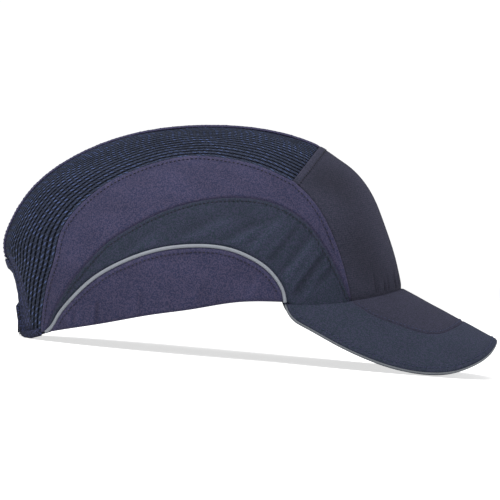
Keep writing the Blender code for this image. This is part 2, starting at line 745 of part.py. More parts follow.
def buckle_lever():
    """Flat lever with a cam nose round its pin; it swings out to free the strap."""
    centre = pin_place()
    tangent = (behind(1, PIN_ANGLE - 90, 0) - behind(0, 0, 0)).xy
    outward = (behind(1, PIN_ANGLE, 0) - behind(0, 0, 0)).xy
    bend = 2 * (STRAP_INNER + STRAP_THICK + PIN_OUT)

    def blade(share, height):
        along = LEVER_LENGTH * share
        return centre.xy + tangent * along + outward * (height - along ** 2 / bend)
    nose = []
    for k in range(13):
        turn = radians(90 + 220 * k / 12)
        nose.append(centre.xy + (tangent * cos(turn) + outward * sin(turn)) * LEVER_KNUCKLE)
    under = [blade(share, LEVER_KNUCKLE - LEVER_THICK) for share in (0.35, 0.7, 1.0)]
    over = [blade(share, LEVER_KNUCKLE) for share in (1.0, 0.7, 0.35)]
    low = BUCKLE_LOW + CHEEK + CLEARANCE
    high = BUCKLE_HIGH - CHEEK - CLEARANCE
    lever = slab("buckle_lever", nose + under + over, low, high, centre)
    bore = pin_cylinder("lever_bore", PIN_RADIUS + CLEARANCE, low - 1, high + 1)
    combine(lever, bore, "DIFFERENCE")


def buckle_pin():
    pin_cylinder("buckle_pin", PIN_RADIUS, BUCKLE_LOW, BUCKLE_HIGH)


# ---------------------------------------------------------------- insert

rim_height = spline(*zip(*RIM))


def rim_angle(angle, swing, depth):
    """The angle at which the crown layer meets the insert's rim, starting from a guess."""
    guess = angle
    for _ in range(25):
        point = crown(guess, swing, depth)
        reach = hypot(point.x - EAR_X, point.z - EAR_Z)
        wanted = (rim_height(point.x) - EAR_Z) / max(reach, 1.0)
        target = asin(max(min(wanted, 1.0), -1.0))
        if angle > pi / 2:
            target = pi - target
        guess = 0.5 * guess + 0.5 * target
    return guess


def protective_shell():
    """Hard shell of the insert: ribs of constant swing from the front rim to the rear rim."""
    widest = swing_at(-SHELL_HALF_WIDTH)

    def surface(u, v, depth):
        swing = widest * (1 - 2 * v)
        front = rim_angle(0.2, swing, SHELL_LAYER[0])
        rear = rim_angle(3.0, swing, SHELL_LAYER[0])
        return crown(front + (rear - front) * u, swing, depth)
    shell = sheet("protective_shell", surface, (26, 20), SHELL_LAYER, (0, 0, 0, 0), "shell_plastic")
    combine(shell, vent_cutters(), "DIFFERENCE")


def vent_places():
    """Centres of the shell's vents, as (angle, swing) in degrees."""
    return [(angle, swing) for angles, side in VENT_ROWS for angle in angles for swing in (-side, side)]


def vent_outline(place, forward, sideways):
    """A slot's outline: two half circles joined by straight sides."""
    outline = []
    for k in range(12):
        turn = 2 * pi * k / 12
        shift = (VENT_LENGTH - VENT_WIDTH) / 2 * (1 if cos(turn) > 0 else -1)
        along = shift + VENT_WIDTH / 2 * cos(turn)
        outline.append(place + forward * along + sideways * (VENT_WIDTH / 2 * sin(turn)))
    return outline


def vent_cutters():
    """One mesh of rounded slots that cut through the shell."""
    bm = bmesh.new()
    middle = (SHELL_LAYER[0] + SHELL_LAYER[1]) / 2
    for angle, swing in vent_places():
        place = crown(radians(angle), radians(swing), middle)
        ahead = crown(radians(angle - 2), radians(swing), middle) - place
        across = crown(radians(angle), radians(swing + 2), middle) - place
        forward = ahead.normalized()
        normal = forward.cross(across).normalized()
        outline = vent_outline(place, forward, normal.cross(forward).normalized())
        low = [bm.verts.new(p - normal * VENT_CUT) for p in outline]
        high = [bm.verts.new(p + normal * VENT_CUT) for p in outline]
        bm.faces.new(low)
        bm.faces.new(high[::-1])
        for a, b, c, d in zip(low, low[1:] + low[:1], high[1:] + high[:1], high):
            bm.faces.new((a, b, c, d))
    return solid_from_bmesh("vent_slots", bm, "shell_plastic")


def pad(name, angles, swings, counts):
    """A foam pad inside the shell, between two angles and two swings in degrees, with rounded corners."""
    def surface(u, v, depth):
        a, b = 2 * u - 1, 2 * v - 1
        p = a * (1 - PAD_ROUNDING * b * b)
        q = b * (1 - PAD_ROUNDING * a * a)
        angle = radians((angles[0] + angles[1]) / 2 + p * (angles[1] - angles[0]) / 2)
        swing = radians((swings[0] + swings[1]) / 2 + q * (swings[1] - swings[0]) / 2 + 1e-4)
        return crown(angle, swing, depth)
    sheet(name, surface, counts, PAD_LAYER, (0, 0, 0, 0), "pad_foam")


brim_height = spline(*zip(*BRIM))


def sweatband():
    """Padded cloth band inside the rim, from one side of the rear opening round the front to the other."""
    def surface(u, v, depth):
        turn = BAND_REACH * (2 * u - 1)
        height = brim_height(abs(degrees(turn))) + 0.5 + BAND_HEIGHT * v
        low, high = 20.0, 140.0
        for _ in range(22):
            middle = (low + high) / 2
            x, y = EAR_X + middle * cos(turn), middle * sin(turn)
            if half_width_at(x, height, depth) > abs(y):
                low = middle
            else:
                high = middle
        return Vector((EAR_X + low * cos(turn), low * sin(turn), height))
    sheet("sweatband", surface, (40, 3), BAND_LAYER, (0, 0, 0, 0), "sweatband_cloth")


# ---------------------------------------------------------------- assembly

def clear_scene():
    for item in list(bpy.data.objects):
        bpy.data.objects.remove(item, do_unlink=True)


def collection(name):
    group = bpy.data.collections.new(name)
    bpy.context.scene.collection.children.link(group)
    return group


def rest_empty():
    """The empty that leans the worn cap back onto the table."""
    empty = bpy.data.objects.new("cap_at_rest", None)
    empty.rotation_euler.y = -REST_TILT
    x, z = REST_SHIFT_X * MM, REST_SHIFT_Z * MM
    empty.location = (x * cos(REST_TILT) - z * sin(REST_TILT), 0, x * sin(REST_TILT) + z * cos(REST_TILT))
    COLLECTION.objects.link(empty)
    return empty


clear_scene()
COLLECTION = collection("bump_cap")
CUTTERS = collection("cutters")
REST_EMPTY = rest_empty()

front_panel()
centre_strip()
opening_binding()
for cap_side in ("right", "left"):
    mesh_panel(cap_side)
    upper_side_panel(cap_side)
    middle_side_panel(cap_side)
    lower_side_panel(cap_side)
    side_piping(cap_side)
    hem_tape(cap_side)
visor_pieces()
strap_pieces()
strap_keeper()
buckle_frame()
buckle_pin()
buckle_lever()
protective_shell()
for pad_name, pad_size in PADS.items():
    pad(pad_name, *pad_size)
sweatband()
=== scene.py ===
"""Looks of the bump cap: fine cloth, mesh, piping, stitching, visor, buckle, shell, pads and stage.

The shapes are drawn in the worn pose in millimetres (+X forward, +Y the wearer's left, +Z up) and
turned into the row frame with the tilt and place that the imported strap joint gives.
"""
import json
from math import atan2, cos, pi, radians, sin

import bmesh
import bpy
import numpy as np
from mathutils import Matrix, Vector

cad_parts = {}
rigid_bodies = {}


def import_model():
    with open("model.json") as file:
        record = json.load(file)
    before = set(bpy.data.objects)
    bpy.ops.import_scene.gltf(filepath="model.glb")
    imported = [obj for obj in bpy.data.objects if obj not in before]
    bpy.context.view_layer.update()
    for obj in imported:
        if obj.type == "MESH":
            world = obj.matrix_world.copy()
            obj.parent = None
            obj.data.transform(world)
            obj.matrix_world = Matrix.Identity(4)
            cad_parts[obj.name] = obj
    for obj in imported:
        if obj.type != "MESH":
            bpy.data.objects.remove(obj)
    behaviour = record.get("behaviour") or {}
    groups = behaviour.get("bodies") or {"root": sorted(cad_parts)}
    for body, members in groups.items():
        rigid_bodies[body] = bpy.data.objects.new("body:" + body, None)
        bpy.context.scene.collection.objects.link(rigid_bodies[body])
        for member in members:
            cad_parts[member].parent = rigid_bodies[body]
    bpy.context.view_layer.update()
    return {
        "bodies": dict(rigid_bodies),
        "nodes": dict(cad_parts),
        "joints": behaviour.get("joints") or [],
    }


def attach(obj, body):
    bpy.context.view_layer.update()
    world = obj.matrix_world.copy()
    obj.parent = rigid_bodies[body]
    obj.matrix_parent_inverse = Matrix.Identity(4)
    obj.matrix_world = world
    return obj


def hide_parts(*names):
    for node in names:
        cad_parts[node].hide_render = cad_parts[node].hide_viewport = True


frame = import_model()

# ---- the worn pose in the row frame

STRAP_JOINT = next(j for j in frame["joints"] if j["name"] == "strap_slide")
STRAP_CENTRE = np.array((-28.7, 0.0, 7.6))
TILT = atan2(-STRAP_JOINT["axis"][0], STRAP_JOINT["axis"][2])
TURN = np.array(((cos(TILT), 0, -sin(TILT)), (0, 1, 0), (sin(TILT), 0, cos(TILT))))
WORN_ORIGIN = np.array(STRAP_JOINT["pos_m"]) - TURN @ STRAP_CENTRE * 0.001


def to_row(points):
    """Worn-pose millimetres to row-frame metres."""
    return np.asarray(points, float) @ TURN.T * 0.001 + WORN_ORIGIN


# ---- driving dimensions, millimetres

EAR_X = -5.0
EAR_Z = 16.0
HALF_WIDTH = 87.0
ROUNDNESS = 2.1
PROFILE = [
    (-70, 112.0), (-30, 118.5), (6, 120.6), (18, 120.3), (27.5, 120.9), (38, 122.6), (52, 119.0),
    (66.5, 112.4), (84.5, 106.7), (109, 107.2), (129, 112.5), (143.5, 116.8), (155, 117.4),
    (161.5, 115.8), (167, 110.4), (177, 104.6), (190, 102.4), (215, 100.0), (290, 112.0),
]
SEAM_MESH = [
    (-90.8, 4.2), (-90.5, 10), (-88.7, 22.7), (-86.1, 34.1), (-82.7, 44.4), (-78.5, 61.5),
    (-70.0, 73.7), (-59.0, 83.8), (-45.1, 92.2), (-30.0, 98.4), (-17.2, 101.8), (-0.4, 103.5),
    (19.8, 101.0), (33.2, 97.3), (51.8, 89.0),
]
SEAM_DARK = [
    (-87.7, 4.3), (-85.8, 10.1), (-82.7, 17.0), (-78.4, 24.5), (-71.8, 34.2), (-64.3, 42.7),
    (-54.6, 52.9), (-42.2, 61.4), (-27.7, 69.2), (-5.2, 77.1), (17.4, 79.9), (40.0, 76.9),
    (48.6, 73.2), (59.2, 65.5), (70.6, 50.1), (79.1, 33.7), (83.6, 23.2),
]
SEAM_PIPING = [
    (-88.4, 3.7), (-84.0, 7.9), (-80.9, 13.1), (-76.1, 19.4), (-69.0, 26.9), (-61.9, 33.2),
    (-45.4, 43.0), (-23.4, 50.6), (-5.0, 52.7), (17.5, 50.3), (28.7, 45.5), (37.1, 39.8),
    (42.8, 33.1), (45.7, 27.5), (46.9, 21.4),
]
SEAM_FRONT = [(51.8, 89.0), (59.3, 82.0), (66.7, 72.5), (75.7, 53.6), (81.2, 36.2), (84.1, 22.9)]
HEM_SIDE = [(-88.4, 3.7), (-84.7, 4.4), (-54.6, 9.4), (-27.5, 14.3), (-5.4, 17.3), (20.3, 21.3), (46.9, 21.4)]
SEAM_VISOR = [(46.9, 21.2), (69.0, 20.7), (84.0, 22.0), (94.4, 23.7), (105.0, 26.0), (115.0, 28.7)]
FRONT_TOP_ANGLE = radians(52.3)

OPENING_HALF = 25.0
OPENING_TOP = 39.8
OPENING_FOOT = 0.6
OPENING_SQUARE = 5.0
BINDING_WIDTH = 5.6
STRIP_HALF = 10.0
PIPING_RADIUS = 1.0
PIPING_DEPTH = 0.35

VISOR_ROOT_X = 115.0
VISOR_ROOT_Z = 28.5
VISOR_DROP = radians(28.4)
VISOR_RADIUS = 100.0
VISOR_EDGE = [
    (52.3, -56.7), (54.6, -53.1), (56.2, -48.5), (56.7, -40.0), (56.9, -20.6), (56.0, 0.0),
    (54.5, 12.8), (51.9, 25.5), (48.4, 36.3), (43.4, 46.0), (37.8, 52.4), (31.1, 57.6),
    (23.9, 60.9), (12.0, 62.9), (0.0, 63.4),
]
PATCH_EDGE = [
    (37.3, -24.8), (38.1, -16.9), (38.5, -10.2), (37.9, -2.8), (35.6, 12.0), (33.6, 21.2),
    (31.3, 26.3), (27.6, 31.0), (20.9, 35.2), (12.0, 38.6), (0.0, 40.1),
]
STRAP_INNER = 74.0
STRAP_THICK = 1.2
STRAP_LOW = 2.9
STRAP_HIGH = 12.3
STRAP_START = 37.0
STRAP_END = -27.0
ANCHOR_INNER = 72.3
ANCHOR_START = -12.6
ANCHOR_END = -34.0
RIM = [(-112, 56), (-85, 45), (-40, 38), (0, 38), (45, 40), (85, 41), (112, 44)]
BRIM = [(0, 29.5), (20, 27.5), (40, 24), (62, 22), (90, 18.5), (120, 12), (145, 6), (180, 3)]
BAND_HEIGHT = 30.0
SHELL_LAYER = (3.1, 4.9)
STITCH_PITCH = 2.4
STITCH_LENGTH = 1.3
STITCH_RADIUS = 0.24


# ---- curves and surfaces

def spline(knots, values):
    """Natural cubic spline through (knots, values), as a function of an array."""
    knots = np.asarray(knots, float)
    values = np.asarray(values, float)
    count = len(knots)
    step = np.diff(knots)
    flat = values.reshape(count, -1)
    rise = np.diff(flat, axis=0)
    system = np.zeros((count, count))
    right = np.zeros_like(flat)
    system[0, :2] = (2, 1)
    system[-1, -2:] = (1, 2)
    right[0] = 3 * rise[0] / step[0]
    right[-1] = 3 * rise[-1] / step[-1]
    for i in range(1, count - 1):
        system[i, i - 1:i + 2] = (1 / step[i - 1], 2 / step[i - 1] + 2 / step[i], 1 / step[i])
        right[i] = 3 * (rise[i - 1] / step[i - 1] ** 2 + rise[i] / step[i] ** 2)
    slope = np.linalg.solve(system, right)

    def value(at):
        at = np.asarray(at, float)
        i = np.clip(np.searchsorted(knots, at, side="right") - 1, 0, count - 2)
        t = ((at - knots[i]) / step[i])[..., None]
        width = step[i][..., None]
        result = (flat[i] * (1 + 2 * t) * (1 - t) ** 2 + flat[i + 1] * t * t * (3 - 2 * t)
                  + slope[i] * width * t * (1 - t) ** 2 - slope[i + 1] * width * t * t * (1 - t))
        return result if values.ndim > 1 else result[..., 0]
    return value


def curve_through(points):
    """A smooth curve through points, as a function of 0 to 1 along its length."""
    points = np.asarray(points, float)
    reach = np.concatenate([[0], np.cumsum(np.hypot(*np.diff(points, axis=0).T))])
    return spline(reach / reach[-1], points)


def joined(curves, breaks):
    """Several curves end to end: curve i runs between breaks[i] and breaks[i + 1]."""
    def point(t):
        t = np.asarray(t, float)
        result = None
        for curve, start, end in zip(curves, breaks, breaks[1:]):
            local = (t - start) / (end - start)
            if curve is not curves[-1]:
                local = np.minimum(local, 1)
            if result is None:
                result = curve(local)
            else:
                result = np.where((t >= start)[..., None], curve(np.maximum(local, 0)), result)
        return result
    return point


def remapped(curve, stops, places):
    """The same curve, walked so that it is at places at stops, and runs on past the last."""
    pace = (places[-1] - places[-2]) / (stops[-1] - stops[-2])
    return lambda t: curve(np.interp(t, stops, places) + np.maximum(np.asarray(t) - stops[-1], 0) * pace)


profile_spline = spline(*zip(*PROFILE))


def profile_radius(angle):
    """The crown's radius about the ear point at angles in radians."""
    turn = np.degrees(angle) % 360
    return profile_spline(np.where(turn > 290, turn - 360, turn))


def crown(angle, swing, depth):
    """Crown points: angle goes over the head from front to rear, swing from the middle to an ear."""
    power = 2 / ROUNDNESS
    reach = (profile_radius(angle) - depth) * np.abs(np.cos(swing)) ** power
    out = (HALF_WIDTH - depth) * np.abs(np.sin(swing)) ** power * np.sign(swing)
    return np.stack(np.broadcast_arrays(
        EAR_X + reach * np.cos(angle), out, EAR_Z + reach * np.sin(angle)), -1)


def side_point(places):
    """(angle, swing) of the right-hand crown points seen at (x, z) from the side."""
    across, up = places[..., 0] - EAR_X, places[..., 1] - EAR_Z
    angle = np.arctan2(up, across)
    angle = np.where(angle < -pi / 2, angle + 2 * pi, angle)
    share = np.minimum(np.hypot(across, up) / profile_radius(angle), 1.0)
    return np.stack((angle, -np.arccos(share ** (ROUNDNESS / 2))), -1)


def swing_at(width):
    return np.arcsin((np.abs(width) / HALF_WIDTH) ** (ROUNDNESS / 2)) * np.sign(width)


def half_width_at(x, z, depth):
    angle = np.arctan2(z - EAR_Z, x - EAR_X)
    share = np.hypot(x - EAR_X, z - EAR_Z) / (profile_radius(angle) - depth)
    return (HALF_WIDTH - depth) * np.maximum(1 - share ** ROUNDNESS, 0) ** (1 / ROUNDNESS)


def visor(turn, along, depth):
    """Visor points: turn round its cylinder, along its slope, below its top surface."""
    fall = VISOR_RADIUS - (VISOR_RADIUS - depth) * np.cos(turn)
    x = VISOR_ROOT_X + along * cos(VISOR_DROP) - fall * sin(VISOR_DROP)
    z = VISOR_ROOT_Z - along * sin(VISOR_DROP) - fall * cos(VISOR_DROP)
    return np.stack(np.broadcast_arrays(x, (VISOR_RADIUS - depth) * np.sin(turn), z), -1)


def last_inside(inside, low, high, shape, rounds):
    """The furthest reach from low to high that is still inside, found by halving."""
    low = np.full(shape, low)
    high = np.full(shape, high)
    for _ in range(rounds):
        middle = (low + high) / 2
        held = inside(middle)
        low = np.where(held, middle, low)
        high = np.where(held, high, middle)
    return low


def visor_root(turn, layer_depth, crown_depth):
    """How far along the visor its surface meets the crown."""
    def inside(along):
        point = visor(turn, along, layer_depth)
        return half_width_at(point[..., 0], point[..., 2], crown_depth) > np.abs(point[..., 1])
    return last_inside(inside, -100.0, 6.0, np.shape(turn), 26)


def behind(radius, angle, z):
    """Points behind the head, at a radius and an angle in degrees about the strap axis."""
    turn = np.radians(angle)
    return np.stack(np.broadcast_arrays(
        STRAP_CENTRE[0] - radius * np.cos(turn), radius * np.sin(turn), z), -1)


def on_side(points):
    curve = curve_through(points)
    return lambda t: side_point(curve(t))


def between(lower, upper, surface):
    """A ruled patch between two curves given in a surface's own coordinates."""
    def point(u, v, depth):
        place = lower(u) * (1 - v[..., None]) + upper(u) * v[..., None]
        return surface(place[..., 0], place[..., 1], depth)
    return point


def cut_ends(patch, first, last):
    return lambda u, v, depth: patch(first + u * (last - first), v, depth)


# ---- relief

def smooth(low, high, x):
    t = np.clip((x - low) / (high - low), 0, 1)
    return t * t * (3 - 2 * t)


def bump(x, width):
    return np.exp(-(x / width) ** 2)


def waves(seed, along, wavelength):
    """Uneven ripples along a line, about -1 to 1."""
    pick = np.random.default_rng(seed)
    total = 0
    for share in (0.62, 0.83, 1.0, 1.37, 1.9):
        total = total + np.sin(2 * pi * along / (wavelength * share) + pick.uniform(0, 2 * pi))
    return total / 3.0


def swell(seed, along, across, wavelength):
    """Soft two-way unevenness, about -1 to 1."""
    pick = np.random.default_rng(seed)
    total = 0
    for _ in range(9):
        heading = pick.uniform(0, 2 * pi)
        scale = wavelength * pick.uniform(0.6, 1.8)
        place = along * cos(heading) + across * sin(heading)
        total = total + np.sin(2 * pi * place / scale + pick.uniform(0, 2 * pi))
    return total / 4.5


def seam_roll(distance, fall=0.75, width=0.75):
    """Cloth turning down into a seam."""
    return -fall * bump(np.maximum(distance, 0), width)


def topstitched(distance, line, along, seed, ridge=0.22, groove=0.22):
    """A double layer between a seam and its stitch line, drawn down and puckered at the stitches."""
    layer = ridge * (1 - smooth(line - 0.5, line + 0.7, distance))
    dots = 0.6 + 0.4 * np.cos(2 * pi * along / STITCH_PITCH)
    row = -groove * bump(distance - line, 0.5) * dots
    pucker = 0.10 * waves(seed, along, 4.6) * bump(distance - line * 0.7, 2.6)
    return layer + row + pucker


def crease(position, start, end, width, height):
    """A straight soft fold in the side view, from start to end as (x, z)."""
    start, end = np.array(start, float), np.array(end, float)
    heading = (end - start) / np.linalg.norm(end - start)
    offset = np.stack((position[..., 0], position[..., 2]), -1) - start
    reach = offset @ heading
    off = offset @ np.array((-heading[1], heading[0]))
    length = np.linalg.norm(end - start)
    window = smooth(-0.25 * length, 0.15 * length, reach) * (1 - smooth(0.8 * length, 1.3 * length, reach))
    return height * window * (bump(off, width) - 0.5 * bump(off - 1.5 * width, width))


# ---- meshes

class Sheet:
    """A sheet's grid: its top and bottom points and each point's distances from the four sides."""


def line_lengths(points, axis):
    steps = np.linalg.norm(np.diff(points, axis=axis), axis=-1)
    start = np.zeros_like(np.take(steps, [0], axis=axis))
    return np.concatenate([start, np.cumsum(steps, axis=axis)], axis=axis)


def followed(place, rows):
    """Length along a knit's rows: each point's distance from the sheet's start, measured down its own row."""
    reach = np.zeros(rows.shape)
    for i in range(1, len(rows)):
        back = [np.interp(rows[i], rows[i - 1], place[i - 1, :, k]) for k in range(3)]
        step = np.linalg.norm(place[i] - np.stack(back, -1), axis=-1)
        reach[i] = np.interp(rows[i], rows[i - 1], reach[i - 1]) + step
    return reach


def measure(surface, counts, depth, margins, crowding):
    """Lay out a sheet's (u, v) grid inside its margins and measure it."""
    columns, rows = counts
    start_u, end_u, start_v, end_v = margins
    t = np.linspace(0, 1, rows + 1)
    share = t - crowding * np.sin(2 * pi * t) / (2 * pi)
    probe_v = np.linspace(0, 1, 25)[None, :]
    u = np.linspace(0, 1, columns + 1)[:, None]
    middle = surface(u, np.full_like(u, 0.5), 0.0)
    length = line_lengths(middle, 0)[-1, 0]
    u = start_u / length + u * (1 - (start_u + end_u) / length)
    probe = surface(u + 0 * probe_v, probe_v + 0 * u, 0.0)
    across = line_lengths(probe, 1)[:, -1:]
    along_step = np.gradient(probe, axis=0)
    across_step = np.gradient(probe, axis=1)
    sine = np.linalg.norm(np.cross(along_step, across_step), axis=-1)
    sine /= np.linalg.norm(along_step, axis=-1) * np.linalg.norm(across_step, axis=-1) + 1e-12
    sine = np.maximum(sine, 0.3)
    first = start_v / sine[:, :1] / across
    last = end_v / sine[:, -1:] / across
    squeeze = np.minimum(1, 0.95 / np.maximum(first + last, 1e-6))
    first, last = first * squeeze, last * squeeze
    v = first + share[None, :] * (1 - first - last)
    u = u + 0 * v
    sheet = Sheet()
    sheet.u, sheet.v = u, v
    sheet.place = surface(u, v, depth)
    sheet.across = line_lengths(sheet.place, 1)
    sheet.along = line_lengths(sheet.place, 0)
    width = sheet.across[:, -1:]
    sheet.to_v0 = sheet.across * sine[:, :1]
    sheet.to_v1 = (width - sheet.across) * sine[:, -1:]
    sheet.to_u0 = sheet.along
    sheet.to_u1 = sheet.along[-1:, :] - sheet.along
    return sheet


def add_object(name, data):
    item = bpy.data.objects.new(name, data)
    bpy.context.scene.collection.objects.link(item)
    return item


def modify(piece, name, kind, **settings):
    modifier = piece.modifiers.new(name, kind)
    for setting, value in settings.items():
        setattr(modifier, setting, value)
    return modifier


def face_outward(mesh, rounded):
    """Turn a closed mesh's faces outward, and shade them smooth or flat."""
    bm = bmesh.new()
    bm.from_mesh(mesh)
    bmesh.ops.recalc_face_normals(bm, faces=bm.faces)
    for face in bm.faces:
        face.smooth = rounded
    bm.to_mesh(mesh)
    bm.free()


def make_mesh(name, verts, faces, material, body, replaced=(), uvs=None, fields=None):
    """A piece in the row frame that rides on a body and stands for CAD nodes."""
    mesh = bpy.data.meshes.new(name)
    mesh.from_pydata(np.asarray(verts).tolist(), [], faces)
    mesh.materials.append(material)
    if uvs is not None:
        layer = mesh.uv_layers.new(name="cloth")
        index = np.zeros(len(mesh.loops), np.int32)
        mesh.loops.foreach_get("vertex_index", index)
        layer.data.foreach_set("uv", np.asarray(uvs, np.float32)[index].ravel())
    for field, values in (fields or {}).items():
        attribute = mesh.attributes.new(field, "FLOAT", "POINT")
        attribute.data.foreach_set("value", np.asarray(values, np.float32).ravel())
    face_outward(mesh, True)
    piece = add_object(name, mesh)
    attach(piece, body)
    if replaced:
        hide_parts(*replaced)
    return piece


def grid_faces(columns, rows, start, flip):
    i, j = np.meshgrid(np.arange(columns), np.arange(rows), indexing="ij")
    a = (start + i * (rows + 1) + j).ravel()
    b = a + rows + 1
    quad = np.stack((a, b, b + 1, a + 1), -1)
    return quad[:, ::-1] if flip else quad


def rim_faces(columns, rows, top, bottom):
    """Quads that close the four sides between a top and a bottom grid."""
    ring = [(i, 0) for i in range(columns)] + [(columns, j) for j in range(rows)]
    ring += [(i, rows) for i in range(columns, 0, -1)] + [(0, j) for j in range(rows, 0, -1)]
    index = np.array([i * (rows + 1) + j for i, j in ring])
    after = np.roll(index, -1)
    return np.stack((top + index, bottom + index, bottom + after, top + after), -1)


def cloth(name, surface, counts, layer, margins, relief, material, body="cap", replaced=(), side="right",
          under_relief=None, crowding=0.55, weave=None):
    """A closed sheet of cloth with relief on its top side, and on its underside if asked.

    The surface is drawn on the right side or across the middle. layer holds the depths of the top
    and the underside, and margins how far the sheet stops short of its start, end, lower and upper side.
    """
    sheet = measure(surface, counts, layer[0], margins, crowding)
    height = relief(sheet) if relief else np.zeros_like(sheet.u)
    low = under_relief(sheet) if under_relief else np.zeros_like(sheet.u)
    sheet.top = surface(sheet.u, sheet.v, layer[0] - height)
    sheet.bottom = surface(sheet.u, sheet.v, layer[1] + low)
    columns, rows = counts
    count = (columns + 1) * (rows + 1)
    if side == "left":
        for points in (sheet.top, sheet.bottom):
            points[..., 1] *= -1
    verts = to_row(np.concatenate([sheet.top.reshape(-1, 3), sheet.bottom.reshape(-1, 3)]))
    faces = np.concatenate([
        grid_faces(columns, rows, 0, False), grid_faces(columns, rows, count, True),
        rim_faces(columns, rows, 0, count)])
    uv = np.stack(weave(sheet) if weave else (sheet.along, sheet.across), -1).reshape(-1, 2)
    nearest = np.minimum(np.minimum(sheet.to_v0, sheet.to_v1), np.minimum(sheet.to_u0, sheet.to_u1)).ravel()
    # edge is the distance to the nearest side, which woven cloth also uses for a painted edge highlight; rise
    # is the relief height, which the cloth materials turn into painted shade in hollows and painted light on
    # ridges
    fields = {"edge": np.concatenate([nearest, nearest * 0 + 9]),
              "rise": np.concatenate([height.ravel(), -low.ravel()])}
    uvs = np.concatenate([uv, uv])
    sheet.piece = make_mesh(name, verts, faces.tolist(), material, body, replaced, uvs, fields)
    return sheet


def stitch_line(sheet, side, distance):
    """Points and outward directions along a line at a distance from one side of a sheet."""
    top, bottom = sheet.top, sheet.bottom
    away = {"v0": sheet.to_v0, "v1": sheet.to_v1, "u0": sheet.to_u0, "u1": sheet.to_u1}[side]
    if side in ("u0", "u1"):
        top, bottom, away = (np.swapaxes(x, 0, 1) for x in (top, bottom, away))
    if side.endswith("1"):
        top, bottom, away = top[:, ::-1], bottom[:, ::-1], away[:, ::-1]
    points, ups = [], []
    for line, under, far in zip(top, bottom, away):
        if far[-1] < 2 * distance:
            continue
        k = int(np.searchsorted(far, distance))
        t = (distance - far[k - 1]) / (far[k] - far[k - 1])
        points.append(line[k - 1] * (1 - t) + line[k] * t)
        ups.append(line[k] - under[k])
    points, ups = np.array(points), np.array(ups)
    return points, ups / np.linalg.norm(ups, axis=1, keepdims=True)


def resampled(points, ups, pitch):
    reach = np.concatenate([[0], np.cumsum(np.linalg.norm(np.diff(points, axis=0), axis=1))])
    places = np.arange(pitch / 2, reach[-1] - pitch / 2, pitch)

    def at(values, where):
        return np.stack([np.interp(where, reach, values[:, k]) for k in range(3)], -1)
    return places, (lambda where: at(points, where)), (lambda where: at(ups, where))


def stitches(name, lines, material, body="cap", pitch=STITCH_PITCH, length=STITCH_LENGTH,
             radius=STITCH_RADIUS):
    """Thread stitches lying along lines of (points, ups); rings are (share, size, rise) along a stitch."""
    rings = (
        (0.0, 0.55, -0.12), (0.18, 1.0, 0.10), (0.5, 1.0, 0.16), (0.82, 1.0, 0.10), (1.0, 0.55, -0.12),
    )
    sides = 6
    verts, faces = [], []
    for points, ups in lines:
        places, point_at, up_at = resampled(points, ups, pitch)
        if len(places) == 0:
            continue
        start = places - length / 2
        ahead = point_at(places + length / 2) - point_at(start)
        ahead /= np.linalg.norm(ahead, axis=1, keepdims=True)
        up = up_at(places)
        side = np.cross(ahead, up)
        side /= np.linalg.norm(side, axis=1, keepdims=True)
        up = np.cross(side, ahead)
        block = []
        for share, size, rise in rings:
            centre = point_at(start + share * length) + up * (rise + radius * 0.3)
            for k in range(sides):
                turn = 2 * pi * k / sides
                block.append(centre + (side * cos(turn) + up * sin(turn)) * radius * size)
        block = np.stack(block, 1)
        base = len(verts)
        per = block.shape[1]
        verts.extend(block.reshape(-1, 3))
        for s in range(len(places)):
            first = base + s * per
            for ring in range(len(rings) - 1):
                for k in range(sides):
                    a = first + ring * sides + k
                    b = first + ring * sides + (k + 1) % sides
                    faces.append((a, b, b + sides, a + sides))
            faces.append(tuple(first + k for k in range(sides))[::-1])
            faces.append(tuple(first + per - sides + k for k in range(sides)))
    return make_mesh(name, to_row(np.array(verts)), faces, material, body)


def cord(name, points, ups, radius, material, replaced=(), sides=14, inward=1.0):
    """A cord along points. UVs run along and round it from its ups side, and its far side may be flatter."""
    ahead = np.gradient(points, axis=0)
    ahead /= np.linalg.norm(ahead, axis=1, keepdims=True)
    side = np.cross(ahead, ups)
    side /= np.linalg.norm(side, axis=1, keepdims=True)
    up = np.cross(side, ahead)
    turn = np.linspace(0, 2 * pi, sides, endpoint=False)
    rise = np.where(np.cos(turn) < 0, inward, 1.0) * np.cos(turn)
    ring = up[:, None] * rise[None, :, None] + side[:, None] * np.sin(turn)[None, :, None]
    count = len(points)
    radius = np.broadcast_to(radius, count)[:, None, None]
    verts = (points[:, None] + ring * radius).reshape(-1, 3)
    reach = np.concatenate([[0], np.cumsum(np.linalg.norm(np.diff(points, axis=0), axis=1))])
    uv = np.stack(np.broadcast_arrays(reach[:, None], (turn / (2 * pi))[None, :]), -1).reshape(-1, 2)
    faces = []
    for start in range(0, (count - 1) * sides, sides):
        for k in range(sides):
            after = (k + 1) % sides
            faces.append((start + k, start + after, start + sides + after, start + sides + k))
    faces.append(tuple(range(sides))[::-1])
    faces.append(tuple((count - 1) * sides + k for k in range(sides)))
    return make_mesh(name, to_row(verts), faces, material, "cap", replaced, uv)


# ---- materials

THREAD_PITCH = 0.62
RIB_PITCH = 1.25


class Value:
    """A node's output that arithmetic can be written on: each step adds a math node."""

    def __init__(self, graph, socket):
        self.graph = graph
        self.socket = socket

    def __add__(self, other):
        return self.graph.math("ADD", self, other)

    def __sub__(self, other):
        return self.graph.math("SUBTRACT", self, other)

    def __rsub__(self, other):
        return self.graph.math("SUBTRACT", other, self)

    def __mul__(self, other):
        return self.graph.math("MULTIPLY", self, other)

    def __truediv__(self, other):
        return self.graph.math("DIVIDE", self, other)

    def __pow__(self, other):
        return self.graph.math("POWER", self, other)

    def __mod__(self, other):
        return self.graph.math("MODULO", self, other)

    def __abs__(self):
        return self.graph.math("ABSOLUTE", self)

    __radd__ = __add__
    __rmul__ = __mul__


